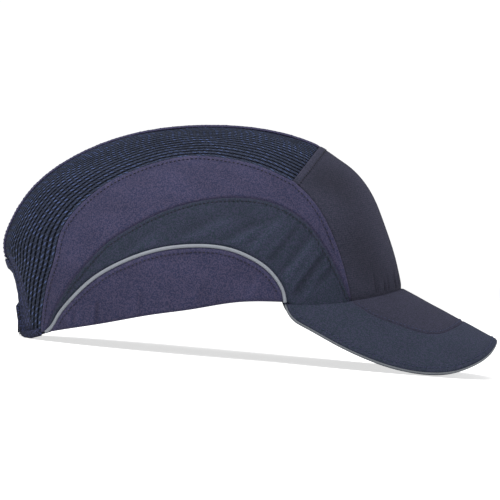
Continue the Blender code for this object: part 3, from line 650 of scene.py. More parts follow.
class Graph:
    """A short way to write a node material."""

    def __init__(self, name):
        self.material = bpy.data.materials.new(name)
        self.material.use_nodes = True
        self.tree = self.material.node_tree
        self.tree.nodes.clear()
        output = self.tree.nodes.new("ShaderNodeOutputMaterial")
        self.shader = self.tree.nodes.new("ShaderNodeBsdfPrincipled")
        self.tree.links.new(self.shader.outputs[0], output.inputs[0])

    def put(self, socket, value):
        """Link a value into a socket, or set a plain number or colour there."""
        if isinstance(value, Value):
            self.tree.links.new(value.socket, socket)
        else:
            socket.default_value = value

    def get(self, kind, inputs, output=0, **settings):
        """One output of a new node, with its settings and inputs filled in."""
        node = self.tree.nodes.new("ShaderNode" + kind)
        for name, value in settings.items():
            setattr(node, name, value)
        for place, value in inputs.items():
            self.put(node.inputs[place], value)
        return Value(self, node.outputs[output])

    def math(self, operation, *values):
        return self.get("Math", dict(enumerate(values)), operation=operation)

    def wave(self, value, length):
        return self.math("SINE", value * (2 * pi / length))

    def uv(self):
        """Distance along and across the cloth."""
        point = self.get("UVMap", {}, uv_map="cloth")
        return [self.get("SeparateXYZ", {0: point}, output=axis) for axis in (0, 1)]

    def place(self):
        return self.get("TexCoord", {}, output="Object")

    def noise(self, vector, scale, detail=2.0, rough=0.5):
        return self.get("TexNoise", {"Vector": vector, "Scale": scale, "Detail": detail, "Roughness": rough})

    def attribute(self, name):
        return self.get("Attribute", {}, output="Fac", attribute_name=name)

    def ramp(self, value, low, high, start=0.0, end=1.0):
        inputs = dict(enumerate((value, low, high, start, end)))
        return self.get("MapRange", inputs, interpolation_type="SMOOTHSTEP")

    def mix(self, share, a, b):
        inputs = {0: share}
        for place, colour in ((6, a), (7, b)):
            inputs[place] = (*colour, 1) if isinstance(colour, tuple) else colour
        return self.get("Mix", inputs, output=2, data_type="RGBA")

    def scaled(self, colour, factor):
        return self.get("VectorMath", {0: colour, "Scale": factor}, operation="SCALE")

    def bump(self, height, distance, strength):
        inputs = {"Strength": strength, "Distance": distance, "Height": height}
        self.put(self.shader.inputs["Normal"], self.get("Bump", inputs))

    def finish(self, colour, roughness, sheen=0.0, sheen_tint=(1, 1, 1), specular=0.5):
        inputs = {
            "Base Color": colour, "Roughness": roughness, "Sheen Weight": sheen, "Sheen Roughness": 0.45,
            "Sheen Tint": (*sheen_tint, 1), "Specular IOR Level": specular,
        }
        for name, value in inputs.items():
            self.put(self.shader.inputs[name], value)
        return self.material


def brighter(colour, factor):
    return tuple(min(1, part * factor) for part in colour)


def woven(name, tint_a, tint_b, rib=0.0):
    """Plain woven cloth: crossing threads, flecks of two tints, soft unevenness, painted shade and light that
    follow the relief, and a painted highlight along folded edges.
    """
    g = Graph(name)
    along, across = g.uv()
    place = g.place()
    weave = g.wave(along, THREAD_PITCH) * g.wave(across, THREAD_PITCH)
    fleck = g.noise(place, 1500, 1.5, 0.6)
    patch = g.noise(place, 800)
    cloud = g.noise(place, 26)
    colour = g.mix(g.ramp(fleck * 0.65 + patch * 0.35, 0.43, 0.57), tint_a, tint_b)
    light = 1.0 + (fleck - 0.5) * 0.9 + (cloud - 0.5) * 0.22 + weave * 0.05
    if rib:
        light = light + g.wave(along, RIB_PITCH) * rib
    # painted shade and light: darker where the relief sinks into seams and folds, lighter on its ridges
    light = light * g.ramp(g.attribute("rise"), -0.8, 0.8, 0.70, 1.30)
    # painted highlight: a lighter tint along the folded edges of the sheet, where light catches the fold
    edge = g.ramp(g.attribute("edge"), 0.05, 0.9, 1.0, 0.0)
    colour = g.mix(edge * 0.25, g.scaled(colour, light), brighter(tint_b, 1.8))
    g.bump(weave * 0.5 + fleck * 0.8, 0.00022, 0.55)
    return g.finish(colour, 0.80 + patch * 0.14, 0.25, brighter(tint_b, 3), 0.25)


def open_mesh(name, base, hole_shade, fleck):
    """Knitted mesh, in UV units of one loop by one row: rows of yarn, long holes painted near-black as shade,
    and painted glints on the loops.
    """
    g = Graph(name)
    along, across = g.uv()
    place = g.place()
    across = across + g.noise(place, 60, 1.0) * 0.35
    along = along + g.noise(place, 45, 1.0) * 0.5
    off = g.math("FRACT", across) - 0.5
    shift = g.math("FLOOR", across) % 2.0 * 0.5
    stride = g.math("FRACT", along + shift) - 0.5
    reach = (abs(stride) / 0.50) ** 4.0 + (abs(off) / 0.23) ** 2.0
    fuzz = g.noise(place, 1500, 2.0, 0.6)
    yarn = g.ramp(reach + fuzz * 0.8, 0.6, 1.9)
    row = g.math("FLOOR", across + 0.5)
    # painted glints: bright spots on the yarn loops standing in for light caught on them; the fleck colour is
    # their colour
    loop_place = along + (row % 2.0 * 0.5 + 0.25)
    loop_off = g.math("FRACT", loop_place) - 0.5
    slant = g.wave(loop_off, 1.0) * 0.10
    forward = g.get("SeparateXYZ", {0: place})
    loop_length = g.ramp(forward, -0.12, -0.05, 0.27, 0.20)
    loop_reach = (abs(loop_off) / loop_length) ** 2.0 + (abs(across - row + slant) / 0.19) ** 2.0
    cell = g.get("CombineXYZ", {0: g.math("FLOOR", loop_place), 1: row})
    pick = g.get("TexWhiteNoise", {"Vector": cell})
    glint = g.ramp(loop_reach, 0.2, 1.3, 1.0, 0.0) * g.ramp(pick, 0.0, 1.0, 0.1, 1.0)
    glint = glint * g.ramp(fuzz, 0.35, 0.6, 0.55, 1.0)
    strand = g.mix(g.ramp(fuzz, 0.42, 0.62), base, brighter(base, 2.0))
    # the holes get a near-black colour: painted shade of the cap's inside seen through them
    colour = g.mix(glint, g.mix(yarn, hole_shade, strand), fleck)
    # painted shade and light: darker where the relief sinks, lighter where it rises
    light = (0.6 + fuzz * 0.8) * g.ramp(g.attribute("rise"), -0.8, 0.8, 0.75, 1.25)
    g.bump(yarn * 0.7 + glint * 0.4, 0.0005, 0.7)
    # the specular fades out over the holes, so their painted shade stays dark
    return g.finish(g.scaled(colour, light), 0.8, 0.0, fleck, yarn * 0.16)


def fuzzy(name, base, thread):
    """Brushed knit of the opening's binding."""
    g = Graph(name)
    along, across = g.uv()
    place = g.place()
    fuzz = g.noise(place, 1000, 3.0, 0.7)
    knot = g.noise(place, 480, 2.0, 0.6)
    rows = g.wave(along, 1.5) * g.wave(across, 1.1)
    colour = g.mix(g.ramp(fuzz + rows * 0.06, 0.48, 0.66), base, thread)
    g.bump(fuzz + rows * 0.25, 0.0006, 0.8)
    return g.finish(g.scaled(colour, 0.7 + knot * 0.6), 0.85, 0.3, thread, 0.2)


def reflective(name, base, groove=False):
    """Grey reflective cord: a fine wrap, faint soiling, a soft glint and, if asked, a painted shade line
    along its groove.
    """
    g = Graph(name)
    along, around = g.uv()
    wrap = g.math("SINE", along * (2 * pi / 0.7) + around * (2 * pi))
    soil = g.noise(g.place(), 120, 3.0, 0.6)
    colour = g.scaled(base, 0.86 + soil * 0.28 + wrap * 0.03)
    if groove:
        # painted shade: a dark line along the cord where a groove would be in shadow
        off = abs(g.math("FRACT", around + 0.5) - 0.5)
        colour = g.mix(g.ramp(off, 0.015, 0.05, 0.75, 0.0), colour, (0.03, 0.035, 0.05))
    g.bump(wrap, 0.00008, 0.5)
    return g.finish(colour, 0.42, 0.1)


def webbing(name, base, light_tint):
    """Narrow woven strap with a herringbone and bound edges."""
    g = Graph(name)
    along, across = g.uv()
    twill = g.wave(along + g.math("PINGPONG", across, 1.6), 0.9)
    fuzz = g.noise(g.place(), 900, 2.0, 0.6)
    colour = g.mix(g.ramp(twill * 0.25 + fuzz, 0.3, 0.8), base, light_tint)
    edge = g.ramp(g.attribute("edge"), 0.1, 0.8, 1.0, 0.0)
    g.bump(twill + fuzz, 0.00025, 0.7)
    return g.finish(g.mix(edge * 0.3, colour, light_tint), 0.8, 0.15, light_tint, 0.3)


def moulded(name, base, roughness, grain=900, depth=0.00006):
    """Moulded plastic: fine grain, handling marks and slightly uneven gloss."""
    g = Graph(name)
    place = g.place()
    marks = g.noise(g.get("Mapping", {0: place, "Scale": (1.0, 4.0, 1.0)}), 60, 4.0, 0.65)
    g.bump(g.noise(place, grain), depth, 0.6)
    return g.finish(g.scaled(base, 0.9 + marks * 0.2), roughness - 0.08 + marks * 0.2)


def foam(name, base):
    """Closed-cell foam: pores, specks and a dry surface."""
    g = Graph(name)
    place = g.place()
    speck = g.noise(place, 300, 3.0, 0.6)
    g.bump(g.get("TexVoronoi", {"Vector": place, "Scale": 900}), 0.0005, 0.6)
    return g.finish(g.scaled(base, 0.75 + speck * 0.5), 0.9, 0.1, base, 0.2)


def towelling(name, base, light_tint):
    """Brushed towelling: tiny loops and soft patches."""
    g = Graph(name)
    place = g.place()
    loops = g.get("TexVoronoi", {"Vector": place, "Scale": 1300})
    soft = g.noise(place, 150, 3.0, 0.6)
    colour = g.mix(g.ramp(loops, 0.1, 0.7), light_tint, base)
    g.bump(1.0 - loops, 0.0006, 0.8)
    return g.finish(g.scaled(colour, 0.8 + soft * 0.4), 0.95, 0.35, light_tint, 0.15)


def thread_finish(name, base):
    """Twisted thread: light and dark plies."""
    g = Graph(name)
    ply = g.noise(g.place(), 2500, 1.0)
    g.bump(ply, 0.0001, 0.5)
    return g.finish(g.scaled(base, 0.6 + ply * 0.8), 0.55, 0.1, base, 0.4)


PURPLE = woven("purple_cloth_weave", (0.032, 0.036, 0.088), (0.066, 0.058, 0.112))
DARK = woven("dark_cloth_weave", (0.021, 0.034, 0.051), (0.040, 0.042, 0.079))
FRONT = woven("front_cloth_weave", (0.024, 0.028, 0.047), (0.039, 0.037, 0.062), rib=0.11)
VISOR_PURPLE = woven("visor_patch_weave", (0.025, 0.028, 0.047), (0.038, 0.037, 0.067))
# the third colour is the painted shade seen through the holes, the fourth the colour of the painted glints on
# the loops
MESH = open_mesh("mesh_knit", (0.018, 0.023, 0.040), (0.006, 0.007, 0.010), (0.115, 0.165, 0.390))
BINDING = fuzzy("binding_knit", (0.015, 0.018, 0.029), (0.068, 0.080, 0.200))
PIPING = reflective("reflective_cord", (0.305, 0.33, 0.375))
# groove=True paints a dark shade line along this cord
EDGE_PIPING = reflective("reflective_edge_cord", (0.15, 0.165, 0.185), groove=True)
WEBBING = webbing("strap_webbing", (0.020, 0.024, 0.042), (0.045, 0.052, 0.085))
BUCKLE = moulded("buckle_moulding", (0.024, 0.028, 0.046), 0.42)
SHELL = moulded("shell_moulding", (0.060, 0.066, 0.080), 0.38, grain=500, depth=0.0001)
BOARD = moulded("visor_board_moulding", (0.05, 0.05, 0.06), 0.6)
FOAM = foam("pad_foam_cells", (0.030, 0.031, 0.036))
TOWEL = towelling("sweatband_towelling", (0.030, 0.032, 0.045), (0.070, 0.072, 0.090))
THREAD = thread_finish("navy_thread", (0.038, 0.046, 0.110))
DARK_THREAD = thread_finish("dark_thread", (0.009, 0.010, 0.018))


# ---- crown panels

SEAMS = {
    "mesh": on_side(SEAM_MESH), "dark": on_side(SEAM_DARK), "piping": on_side(SEAM_PIPING),
    "front": on_side(SEAM_FRONT), "hem": on_side(HEM_SIDE),
}
FRONT_PAIRS = side_point(np.array(SEAM_FRONT, float))[::-1]
VISOR_PAIRS = side_point(np.array(SEAM_VISOR, float))[::-1]
front_swing = spline(FRONT_PAIRS[:, 0], FRONT_PAIRS[:, 1])
visor_angle = spline(-VISOR_PAIRS[:, 1], VISOR_PAIRS[:, 0])
TOUCH = -0.08
SEAM_ALLOWANCE = 3.2
SEED = {"right": 10, "left": 60}
COVER = (0.0, 1.3)
OPENING_SWEEP = pi / 2 - 0.02
OUTSIDE = -5.0
LOOPS_PER_MM = 0.28
ROWS_PER_MM = 0.345
CASING_WIDTH = 12.5
CASING_TAPER = 0.14
HEEL_INSET = -0.4
HEEL_DEPTH = 1.2
HEEL_SWEEP = 0.062
HEEL_RADIUS = (0.3, 2.3)


def opening_edge(turn, margin):
    """Rear opening outline as (angle, swing) on the right: turn 0 at its foot, 90 degrees at its top."""
    half = OPENING_HALF + margin
    tall = OPENING_TOP - OPENING_FOOT + margin
    width = half * np.abs(np.cos(turn)) ** (2 / OPENING_SQUARE)
    height = OPENING_FOOT + tall * np.abs(np.sin(turn)) ** (2 / OPENING_SQUARE)
    swing = swing_at(-width)
    angle = np.full(np.shape(width), pi)
    for _ in range(12):
        reach = profile_radius(angle) * np.cos(swing) ** (2 / ROUNDNESS)
        angle = pi - np.arcsin((height - EAR_Z) / reach)
    return np.stack((angle, swing), -1)


def front_panel():
    top_swing = front_swing(FRONT_TOP_ANGLE)
    corner = front_swing(visor_angle(-top_swing))

    def surface(u, v, depth):
        share = 2 * v - 1
        foot = visor_angle(np.abs(share * corner)) - SEAM_ALLOWANCE / VISOR_ROOT_X
        angle = foot + (FRONT_TOP_ANGLE - foot) * u
        down = (FRONT_TOP_ANGLE - angle) * 100
        fullness = (0.75 * bump(down - 34, 14) - 0.55 * bump(down - 11, 6)) * bump(share, 0.8)
        return crown(angle, -share * front_swing(angle), depth - fullness)

    def relief(s):
        seams = seam_roll(s.to_v0) + seam_roll(s.to_v1) + seam_roll(s.to_u1, 0.25, 0.4)
        seams -= 0.35 * bump(s.to_u0 - 2.6, 1.6)
        band = topstitched(s.to_u1, 4.0, s.across, 31, 0.45)
        ring = s.across - s.across[:, -1:] / 2
        above = np.maximum(s.to_u0 - SEAM_ALLOWANCE, 0)
        tall = 6.5 + 2.5 * waves(35, ring, 14)
        gather = -1.3 * smooth(0.0, 1.0, waves(32, ring, 5.8)) * bump(above - 1, tall)
        gather = gather * smooth(0.0, 2.0, above) * smooth(60, 46, np.abs(ring))
        fullness = 0.34 * swell(33, s.along, s.across, 38) * smooth(0, 14, above) * smooth(0, 10, s.to_u1)
        sides = 0.10 * waves(34, s.along, 5.0) * (bump(s.to_v0 - 2, 2.5) + bump(s.to_v1 - 2, 2.5))
        return seams + band + gather + fullness + sides
    sheet = cloth("front_cloth_panel", surface, (100, 150), COVER, (TOUCH,) * 4, relief, FRONT,
                  replaced=("front_panel",))
    return [stitch_line(sheet, "u1", 4.0)]


def mesh_weave(s):
    """Loops and rows of the knit, which is pulled wider behind the head and beside the centre strip."""
    rear = smooth(-40, -92, s.place[..., 0])
    pulled = 1 - 0.26 * rear - 0.38 * (1 - rear) * (1 - smooth(0, 30, s.to_v1))
    steps = np.diff(s.across, axis=1) * pulled[:, 1:] * ROWS_PER_MM
    rows = np.concatenate([s.across[:, :1] * 0, np.cumsum(steps, axis=1)], axis=1)
    return followed(s.place, rows) * LOOPS_PER_MM, rows


def mesh_panel(side):
    reach = BINDING_WIDTH + TOUCH
    top = opening_edge(np.array(OPENING_SWEEP), reach)
    edge_swing = swing_at(-0.25)
    corner = 0.24

    def around_opening(t):
        return opening_edge(OPENING_SWEEP * t, reach)

    def over_head(t):
        swing = edge_swing + (top[1] - edge_swing) * (1 - t) ** 8
        return np.stack((top[0] + (FRONT_TOP_ANGLE - top[0]) * t, swing), -1)
    upper = joined([around_opening, over_head], [0.0, corner, 1.0])
    lower = remapped(SEAMS["mesh"], [0, corner, 1], [0, 0.33, 1])

    def relief(s):
        seams = seam_roll(s.to_v0, 0.2) + seam_roll(s.to_u1, 0.3)
        drape = 0.25 * swell(SEED[side] + 1, s.along, s.across, 42) * smooth(0, 14, s.to_v0)
        pucker = 0.12 * waves(SEED[side] + 2, s.along, 6.0) * bump(s.to_v0 - 3, 4)
        return seams + drape * smooth(0, 16, s.to_v1) + pucker
    counts = (230, 80)
    sheet = cloth("mesh_cloth_" + side, between(lower, upper, crown), counts, (0.75, 1.5),
                  (0.0, TOUCH, -0.6, TOUCH), relief, MESH, replaced=("mesh_panel_" + side,), side=side,
                  weave=mesh_weave)
    width = CASING_WIDTH - CASING_TAPER * sheet.place[..., 2]
    casing = (sheet.to_v1 < width) & (sheet.u < 0.8 * corner)
    mesh = sheet.piece.data
    mesh.materials.append(BINDING)
    chosen = np.zeros(len(mesh.polygons), np.int32)
    chosen[:counts[0] * counts[1]] = casing[:-1, :-1].ravel()
    mesh.polygons.foreach_set("material_index", chosen)


def with_ups(points, pairs, side):
    """A line on the crown and its outward directions, on the right side or mirrored to the left."""
    ups = crown(pairs[:, 0], pairs[:, 1], OUTSIDE) - points
    mirror = np.array((1, -1, 1)) if side == "left" else 1
    return points * mirror, ups * mirror


def binding_heel(side):
    """The casing's rolled lower end: along the mesh panel's bottom edge and up beside the opening."""
    corner = opening_edge(np.array(0.0), HEEL_INSET)
    share = np.linspace(0.0, 1.0, 26)[:, None]
    bottom = SEAMS["mesh"](np.array(0.0)) * (1 - share) + corner * share
    turns = np.linspace(0.0, HEEL_SWEEP, 16)[1:] * pi
    pairs = np.concatenate([bottom, opening_edge(turns, HEEL_INSET)])
    points = crown(pairs[:, 0], pairs[:, 1], HEEL_DEPTH)
    for _ in range(6):
        points[1:-1] = (points[:-2] + points[1:-1] * 2 + points[2:]) / 4
    reach = line_lengths(points, 0)
    fade = smooth(-0.5, 2.6, reach) * smooth(-0.5, 2.6, reach[-1] - reach)
    thin, thick = HEEL_RADIUS
    radius = thin + (thick - thin) * fade
    points[:, 2] = np.maximum(points[:, 2], table_height(points[:, 0]) + radius)
    points, ups = with_ups(points, pairs, side)
    cord("binding_heel_" + side, points, ups, radius, BINDING, sides=20, inward=0.3)


def upper_panel(side):
    corner = 0.78
    upper = joined([SEAMS["mesh"], SEAMS["front"]], [0.0, corner, 1.0])
    lower = remapped(SEAMS["dark"], [0, corner, 1], [0, 0.74, 1])
    patch = cut_ends(between(lower, upper, crown), 0.0, 1.012)

    def relief(s):
        seams = seam_roll(s.to_v0) + seam_roll(s.to_v1, 0.35, 0.4) + seam_roll(s.to_u0, 0.4)
        line = topstitched(s.to_v1, 3.0, s.along, SEED[side] + 3)
        drape = 0.16 * swell(SEED[side] + 4, s.along, s.across, 26) * smooth(0, 6, s.to_v0)
        pucker = 0.09 * waves(SEED[side] + 5, s.along, 4.4) * bump(s.to_v0 - 1.5, 2.5)
        return seams + line + drape + pucker
    sheet = cloth("upper_cloth_" + side, patch, (300, 26), COVER, (TOUCH,) * 4, relief, PURPLE,
                  replaced=("upper_side_panel_" + side,), side=side)
    return [stitch_line(sheet, "v1", 3.0)]


MIDDLE_FOLDS = [
    ((46, 33), (63, 55), 2.6, 0.75), ((53, 27), (68, 47), 2.0, -0.85), ((12, 51), (35, 63), 2.6, 0.60),
    ((28, 50), (44, 66), 2.6, 0.55), ((-10, 55), (14, 66), 3.0, 0.45), ((63, 27), (75, 42), 2.0, -0.45),
    ((-40, 46), (-24, 58), 3.2, 0.35), ((38, 44), (53, 62), 2.2, -0.50), ((58, 24), (70, 33), 2.2, 0.35),
]
LOWER_FOLDS = [
    ((-59, 7), (-58, 21), 1.1, -0.55), ((-72, 8), (-71, 16), 1.2, -0.30), ((-66, 8), (-66, 15), 1.2, -0.22),
    ((-2, 20), (3, 33), 1.6, -0.25), ((6, 21), (8, 31), 1.4, 0.20), ((-35, 14), (-33, 27), 2.2, -0.20),
    ((26, 24), (33, 36), 2.0, 0.20),
]


def folds(s, entries):
    return sum(crease(s.place, *entry) for entry in entries)


def middle_panel(side):
    meeting = curve_through(SEAM_VISOR)
    corner = 0.80

    def along_visor(t):
        place = meeting(0.49 * t)
        return side_point(place - np.stack((t * 0, SEAM_ALLOWANCE * smooth(0.0, 0.15, t)), -1))
    lower = joined([SEAMS["piping"], along_visor], [0.0, corner, 1.0])
    upper = remapped(SEAMS["dark"], [0, corner, 1], [0, 0.86, 1])
    patch = between(lower, upper, crown)

    def relief(s):
        seams = seam_roll(s.to_v0, 0.6) + seam_roll(s.to_v1) + seam_roll(s.to_u0, 0.4)
        line = topstitched(s.to_v1, 2.6, s.along, SEED[side] + 6, 0.04, 0.30)
        forward = smooth(0, 60, s.place[..., 0])
        gather = 0.30 * forward * waves(SEED[side] + 7, s.along, 3.2) * bump(s.to_v1 - 3, 3.0)
        drape = 0.14 * swell(SEED[side] + 8, s.along, s.across, 24)
        inner = smooth(0.5, 4, s.to_v0) * smooth(0.5, 4, s.to_v1)
        return seams + line + gather + (drape + folds(s, MIDDLE_FOLDS)) * inner
    sheet = cloth("middle_cloth_" + side, patch, (270, 44), COVER, (TOUCH, TOUCH, PIPING_RADIUS - 0.1, TOUCH),
                  relief, DARK, replaced=("middle_side_panel_" + side,), side=side)
    return [stitch_line(sheet, "v1", 2.6)]


def lower_panel(side):
    patch = between(SEAMS["hem"], SEAMS["piping"], crown)

    def relief(s):
        seams = seam_roll(s.to_v1, 0.6) + seam_roll(s.to_v0, 0.7, 1.0)
        line = topstitched(s.to_v1, 2.9, s.along, SEED[side] + 9, 0.24, 0.24)
        drape = 0.12 * swell(SEED[side] + 12, s.along, s.across, 24)
        hem = 0.07 * waves(SEED[side] + 13, s.along, 7) * bump(s.to_v0 - 2, 4)
        return seams + line + hem + (drape + folds(s, LOWER_FOLDS)) * smooth(0.5, 4, s.to_v1)
    sheet = cloth("lower_cloth_" + side, patch, (200, 34), (0.0, 1.5), (0.6, 0.3, 0.0, PIPING_RADIUS - 0.1),
                  relief, PURPLE, replaced=("lower_side_panel_" + side,), side=side)
    return [stitch_line(sheet, "v1", 2.9)]


def side_piping(side):
    t = np.linspace(0.0, 1.002, 270)
    pairs = SEAMS["piping"](t)
    points = crown(pairs[:, 0], pairs[:, 1], PIPING_DEPTH)
    reach = line_lengths(points, 0)
    radius = PIPING_RADIUS * np.sqrt(np.clip(1 - (1 - np.minimum(reach, 1.0)) ** 2, 0.02, 1))
    points, ups = with_ups(points, pairs, side)
    cord("piping_cord_" + side, points, ups, radius, PIPING, replaced=("side_piping_" + side,))


def centre_strip():
    rear = float(opening_edge(np.array(OPENING_SWEEP), BINDING_WIDTH + 0.3)[0])

    def surface(u, v, depth):
        angle = rear + (FRONT_TOP_ANGLE - rear) * u
        return crown(angle, swing_at(STRIP_HALF * (2 * v - 1) - 1e-6), depth)

    def relief(s):
        edges = seam_roll(s.to_v0, 0.2, 0.5) + seam_roll(s.to_v1, 0.2, 0.5) + seam_roll(s.to_u1, 0.4, 1.2)
        rows = topstitched(s.to_v0, 1.8, s.along, 41, 0, 0.15)
        rows += topstitched(s.to_v1, 1.8, s.along, 42, 0, 0.15)
        puff = 0.42 * np.sqrt(np.clip(1 - ((s.to_v0 - s.to_v1) / (2 * STRIP_HALF)) ** 2, 0, 1))
        puff = puff * smooth(-2, 5, s.to_u0)
        return edges + rows + puff + 0.05 * waves(43, s.along, 9)
    sheet = cloth("centre_strip_cloth", surface, (220, 24), (-0.15, 0.7), (0.2, TOUCH, 0, 0), relief, PURPLE,
                  replaced=("centre_strip",))
    return [stitch_line(sheet, "v0", 1.8), stitch_line(sheet, "v1", 1.8)]


def table_height(x):
    """Where the table is under the worn cap, at x."""
    return -(WORN_ORIGIN[2] * 1000 + x * sin(TILT)) / cos(TILT)


def binding():
    def surface(u, v, depth):
        turn = (1 - np.abs(2 * u - 1)) * (pi / 2)
        place = opening_edge(turn, BINDING_WIDTH * v)
        point = crown(place[..., 0], np.where(u < 0.5, place[..., 1], -place[..., 1]), depth)
        point[..., 2] = np.where(turn < 1e-6, table_height(point[..., 0]), point[..., 2])
        return point

    def relief(s):
        roll = 0.35 * np.sin(np.clip(s.v, 0, 1) * pi) ** 0.6 - 0.2
        lip = 1.1 * smooth(0.6, 0.9, 1 - np.abs(2 * s.u - 1))
        return roll + lip + 0.10 * waves(51, s.along, 7) + topstitched(s.to_v1, 1.3, s.along, 52, 0, 0.2)
    sheet = cloth("opening_binding_cloth", surface, (260, 18), (0.55, 1.9), (0, 0, 0, 0.05), relief,
                  BINDING, replaced=("opening_binding",), crowding=0.3)
    return [stitch_line(sheet, "v1", 1.3)]


def hem_tape(side):
    def surface(u, v, depth):
        foot = SEAMS["hem"](0.04 + 0.93 * u)
        foot = crown(foot[..., 0], foot[..., 1], depth)
        place = side_point(np.stack((foot[..., 0], foot[..., 2] + 10 * v), -1))
        return crown(place[..., 0], place[..., 1], depth)
    cloth("hem_tape_cloth_" + side, surface, (120, 8), (1.6, 2.3), (0, 0, 0.3, 0), None, WEBBING,
          replaced=("hem_tape_" + side,), side=side,
          under_relief=lambda s: 0.08 * waves(SEED[side] + 15, s.along, 8))


# ---- visor

def visor_curve(points):
    """A visor outline from its right corner round to its left corner, as (turn, along)."""
    half = curve_through([(-radians(turn) * VISOR_RADIUS, along) for turn, along in points])

    def point(t):
        t = np.asarray(t, float)
        place = half(1 - np.abs(2 * t - 1))
        turn = place[..., 0] / VISOR_RADIUS
        return np.stack((np.where(t < 0.5, turn, -turn), place[..., 1]), -1)
    return point


def root_curve(widest, layer_depth, crown_depth):
    def point(t):
        turn = radians(widest) * (2 * np.asarray(t, float) - 1)
        return np.stack((turn, visor_root(turn, layer_depth, crown_depth)), -1)
    return point


def visor_tape():
    """Tape sewn inside the crown along the visor seam, from corner to corner."""
    reach = -VISOR_PAIRS[:, 1].min()
    low, tall = -3.5, 10.0

    def surface(u, v, depth):
        swing = reach * (2 * u - 1)
        angle = visor_angle(np.abs(swing)) + (low + tall * v) / VISOR_ROOT_X
        return crown(angle, swing, depth)
    cloth("visor_seam_tape", surface, (160, 6), (1.4, 1.9), (0.1, 0.1, 0, 0), None, DARK)


LINING_ROWS = (3.2, 10.0, 17.0, 24.0)


def visor_pieces():
    edge = visor_curve(VISOR_EDGE)
    patch_edge = visor_curve(PATCH_EDGE)
    widest, corner = VISOR_EDGE[0][0], PATCH_EDGE[0][0]
    root = root_curve(widest, 0.0, 0.0)
    share = (1 - corner / widest) / 2
    split = 0.22
    inner = joined([lambda t: root(share * t), patch_edge, lambda t: root(1 - share * (1 - t))],
                   [0.0, split, 1 - split, 1.0])

    def cover_relief(s):
        seams = seam_roll(s.to_v0, 0.45, 0.7) + seam_roll(s.to_v1, 0.5, 0.6)
        row = topstitched(s.to_v1, 3.2, s.along, 71, 0.0, 0.20)
        ripple = 0.12 * waves(72, s.along, 3.4) * bump(s.to_v1 - 2.0, 2.0)
        pull = 0.08 * waves(73, s.along, 5.5) * bump(s.to_v0 - 2.5, 3.0)
        return seams + row + ripple + pull + 0.08 * swell(74, s.along, s.across, 26)
    top = cloth("visor_cover_cloth", between(inner, edge, visor), (420, 52), (0.0, 1.1),
                (0.4, 0.4, TOUCH, 0.5), cover_relief, DARK, replaced=("visor_top_cover",))
    patch_root = root_curve(corner, 0.0, 0.0)
    patch = cut_ends(between(patch_root, patch_edge, visor), 0.004, 0.996)

    def patch_relief(s):
        seams = seam_roll(s.to_v0, 0.5, 0.8) + seam_roll(s.to_v1, 0.5, 0.6)
        row = topstitched(s.to_v1, 1.5, s.along, 75, 0.12, 0.2)
        return seams + row + 0.12 * swell(76, s.along, s.across, 30) + 0.05
    insert = cloth("visor_patch_cloth", patch, (150, 70), (0.0, 1.1), (0.1, 0.1, 0.05, TOUCH), patch_relief,
                   VISOR_PURPLE, replaced=("visor_insert",))
    under_root = root_curve(widest - 0.8, 3.6, 0.0)

    def under(s):
        lip = -2.1 * (1 - smooth(0.0, 1.4, s.to_v1))
        rows = sum(-0.22 * bump(s.to_v1 - row, 0.6) for row in LINING_ROWS)
        return lip + rows + 0.10 * swell(77, s.along, s.across, 30)
    cloth("visor_lining_cloth", between(under_root, edge, visor), (300, 70), (3.5, 4.4),
          (1.0, 1.0, 0.2, 0.3), lambda s: 2.3 * (1 - smooth(0.0, 0.75, s.to_v1)), DARK,
          replaced=("visor_under_cover",), under_relief=under)
    visor_cord(edge)
    frame["nodes"]["visor_board"].data.materials[0] = BOARD
    return [stitch_line(top, "v1", 3.2), stitch_line(insert, "v1", 1.5)]


def visor_cord(edge):
    """The cord round the visor's edge, sunk into the seam towards the front."""
    t = np.linspace(0.004, 0.996, 420)
    front = smooth(0.66, 0.86, 1 - np.abs(2 * t - 1))
    pairs = edge(t)
    points = visor(pairs[:, 0], pairs[:, 1], 0.5 + 0.25 * front)
    middle = visor(pairs[:, 0] * 0, pairs[:, 1] * 0, 0.5)
    outward = points - middle
    ups = visor(pairs[:, 0], pairs[:, 1], -4.0) - points
    ahead = np.gradient(points, axis=0)
    across = np.cross(ahead, ups)
    across /= np.linalg.norm(across, axis=1, keepdims=True)
    across *= np.sign(np.sum(across * outward, axis=1, keepdims=True))
    points = points - across * (0.75 * front)[:, None]
    cord("visor_piping_cord", points, across, 0.55 - 0.12 * front, EDGE_PIPING, replaced=("visor_piping",))


# ---- adjuster

def arc_strap(name, inner, start, end, body, node, columns, seed):
    def surface(u, v, depth):
        height = STRAP_LOW + (STRAP_HIGH - STRAP_LOW) * v
        return behind(inner + STRAP_THICK - depth, start + (end - start) * u, height)

    def relief(s):
        rim = seam_roll(s.to_v0, 0.35, 0.45) + seam_roll(s.to_v1, 0.35, 0.45)
        ends = seam_roll(s.to_u0, 0.3, 0.5) + seam_roll(s.to_u1, 0.3, 0.5)
        return rim + ends + 0.02 * waves(seed, s.along, 5)

    def under(s):
        return seam_roll(s.to_v0, 0.3, 0.45) + seam_roll(s.to_v1, 0.3, 0.45)
    return cloth(name, surface, (columns, 22), (0.0, STRAP_THICK), (0, 0, 0, 0), relief, WEBBING, body=body,
                 replaced=(node,), under_relief=under)


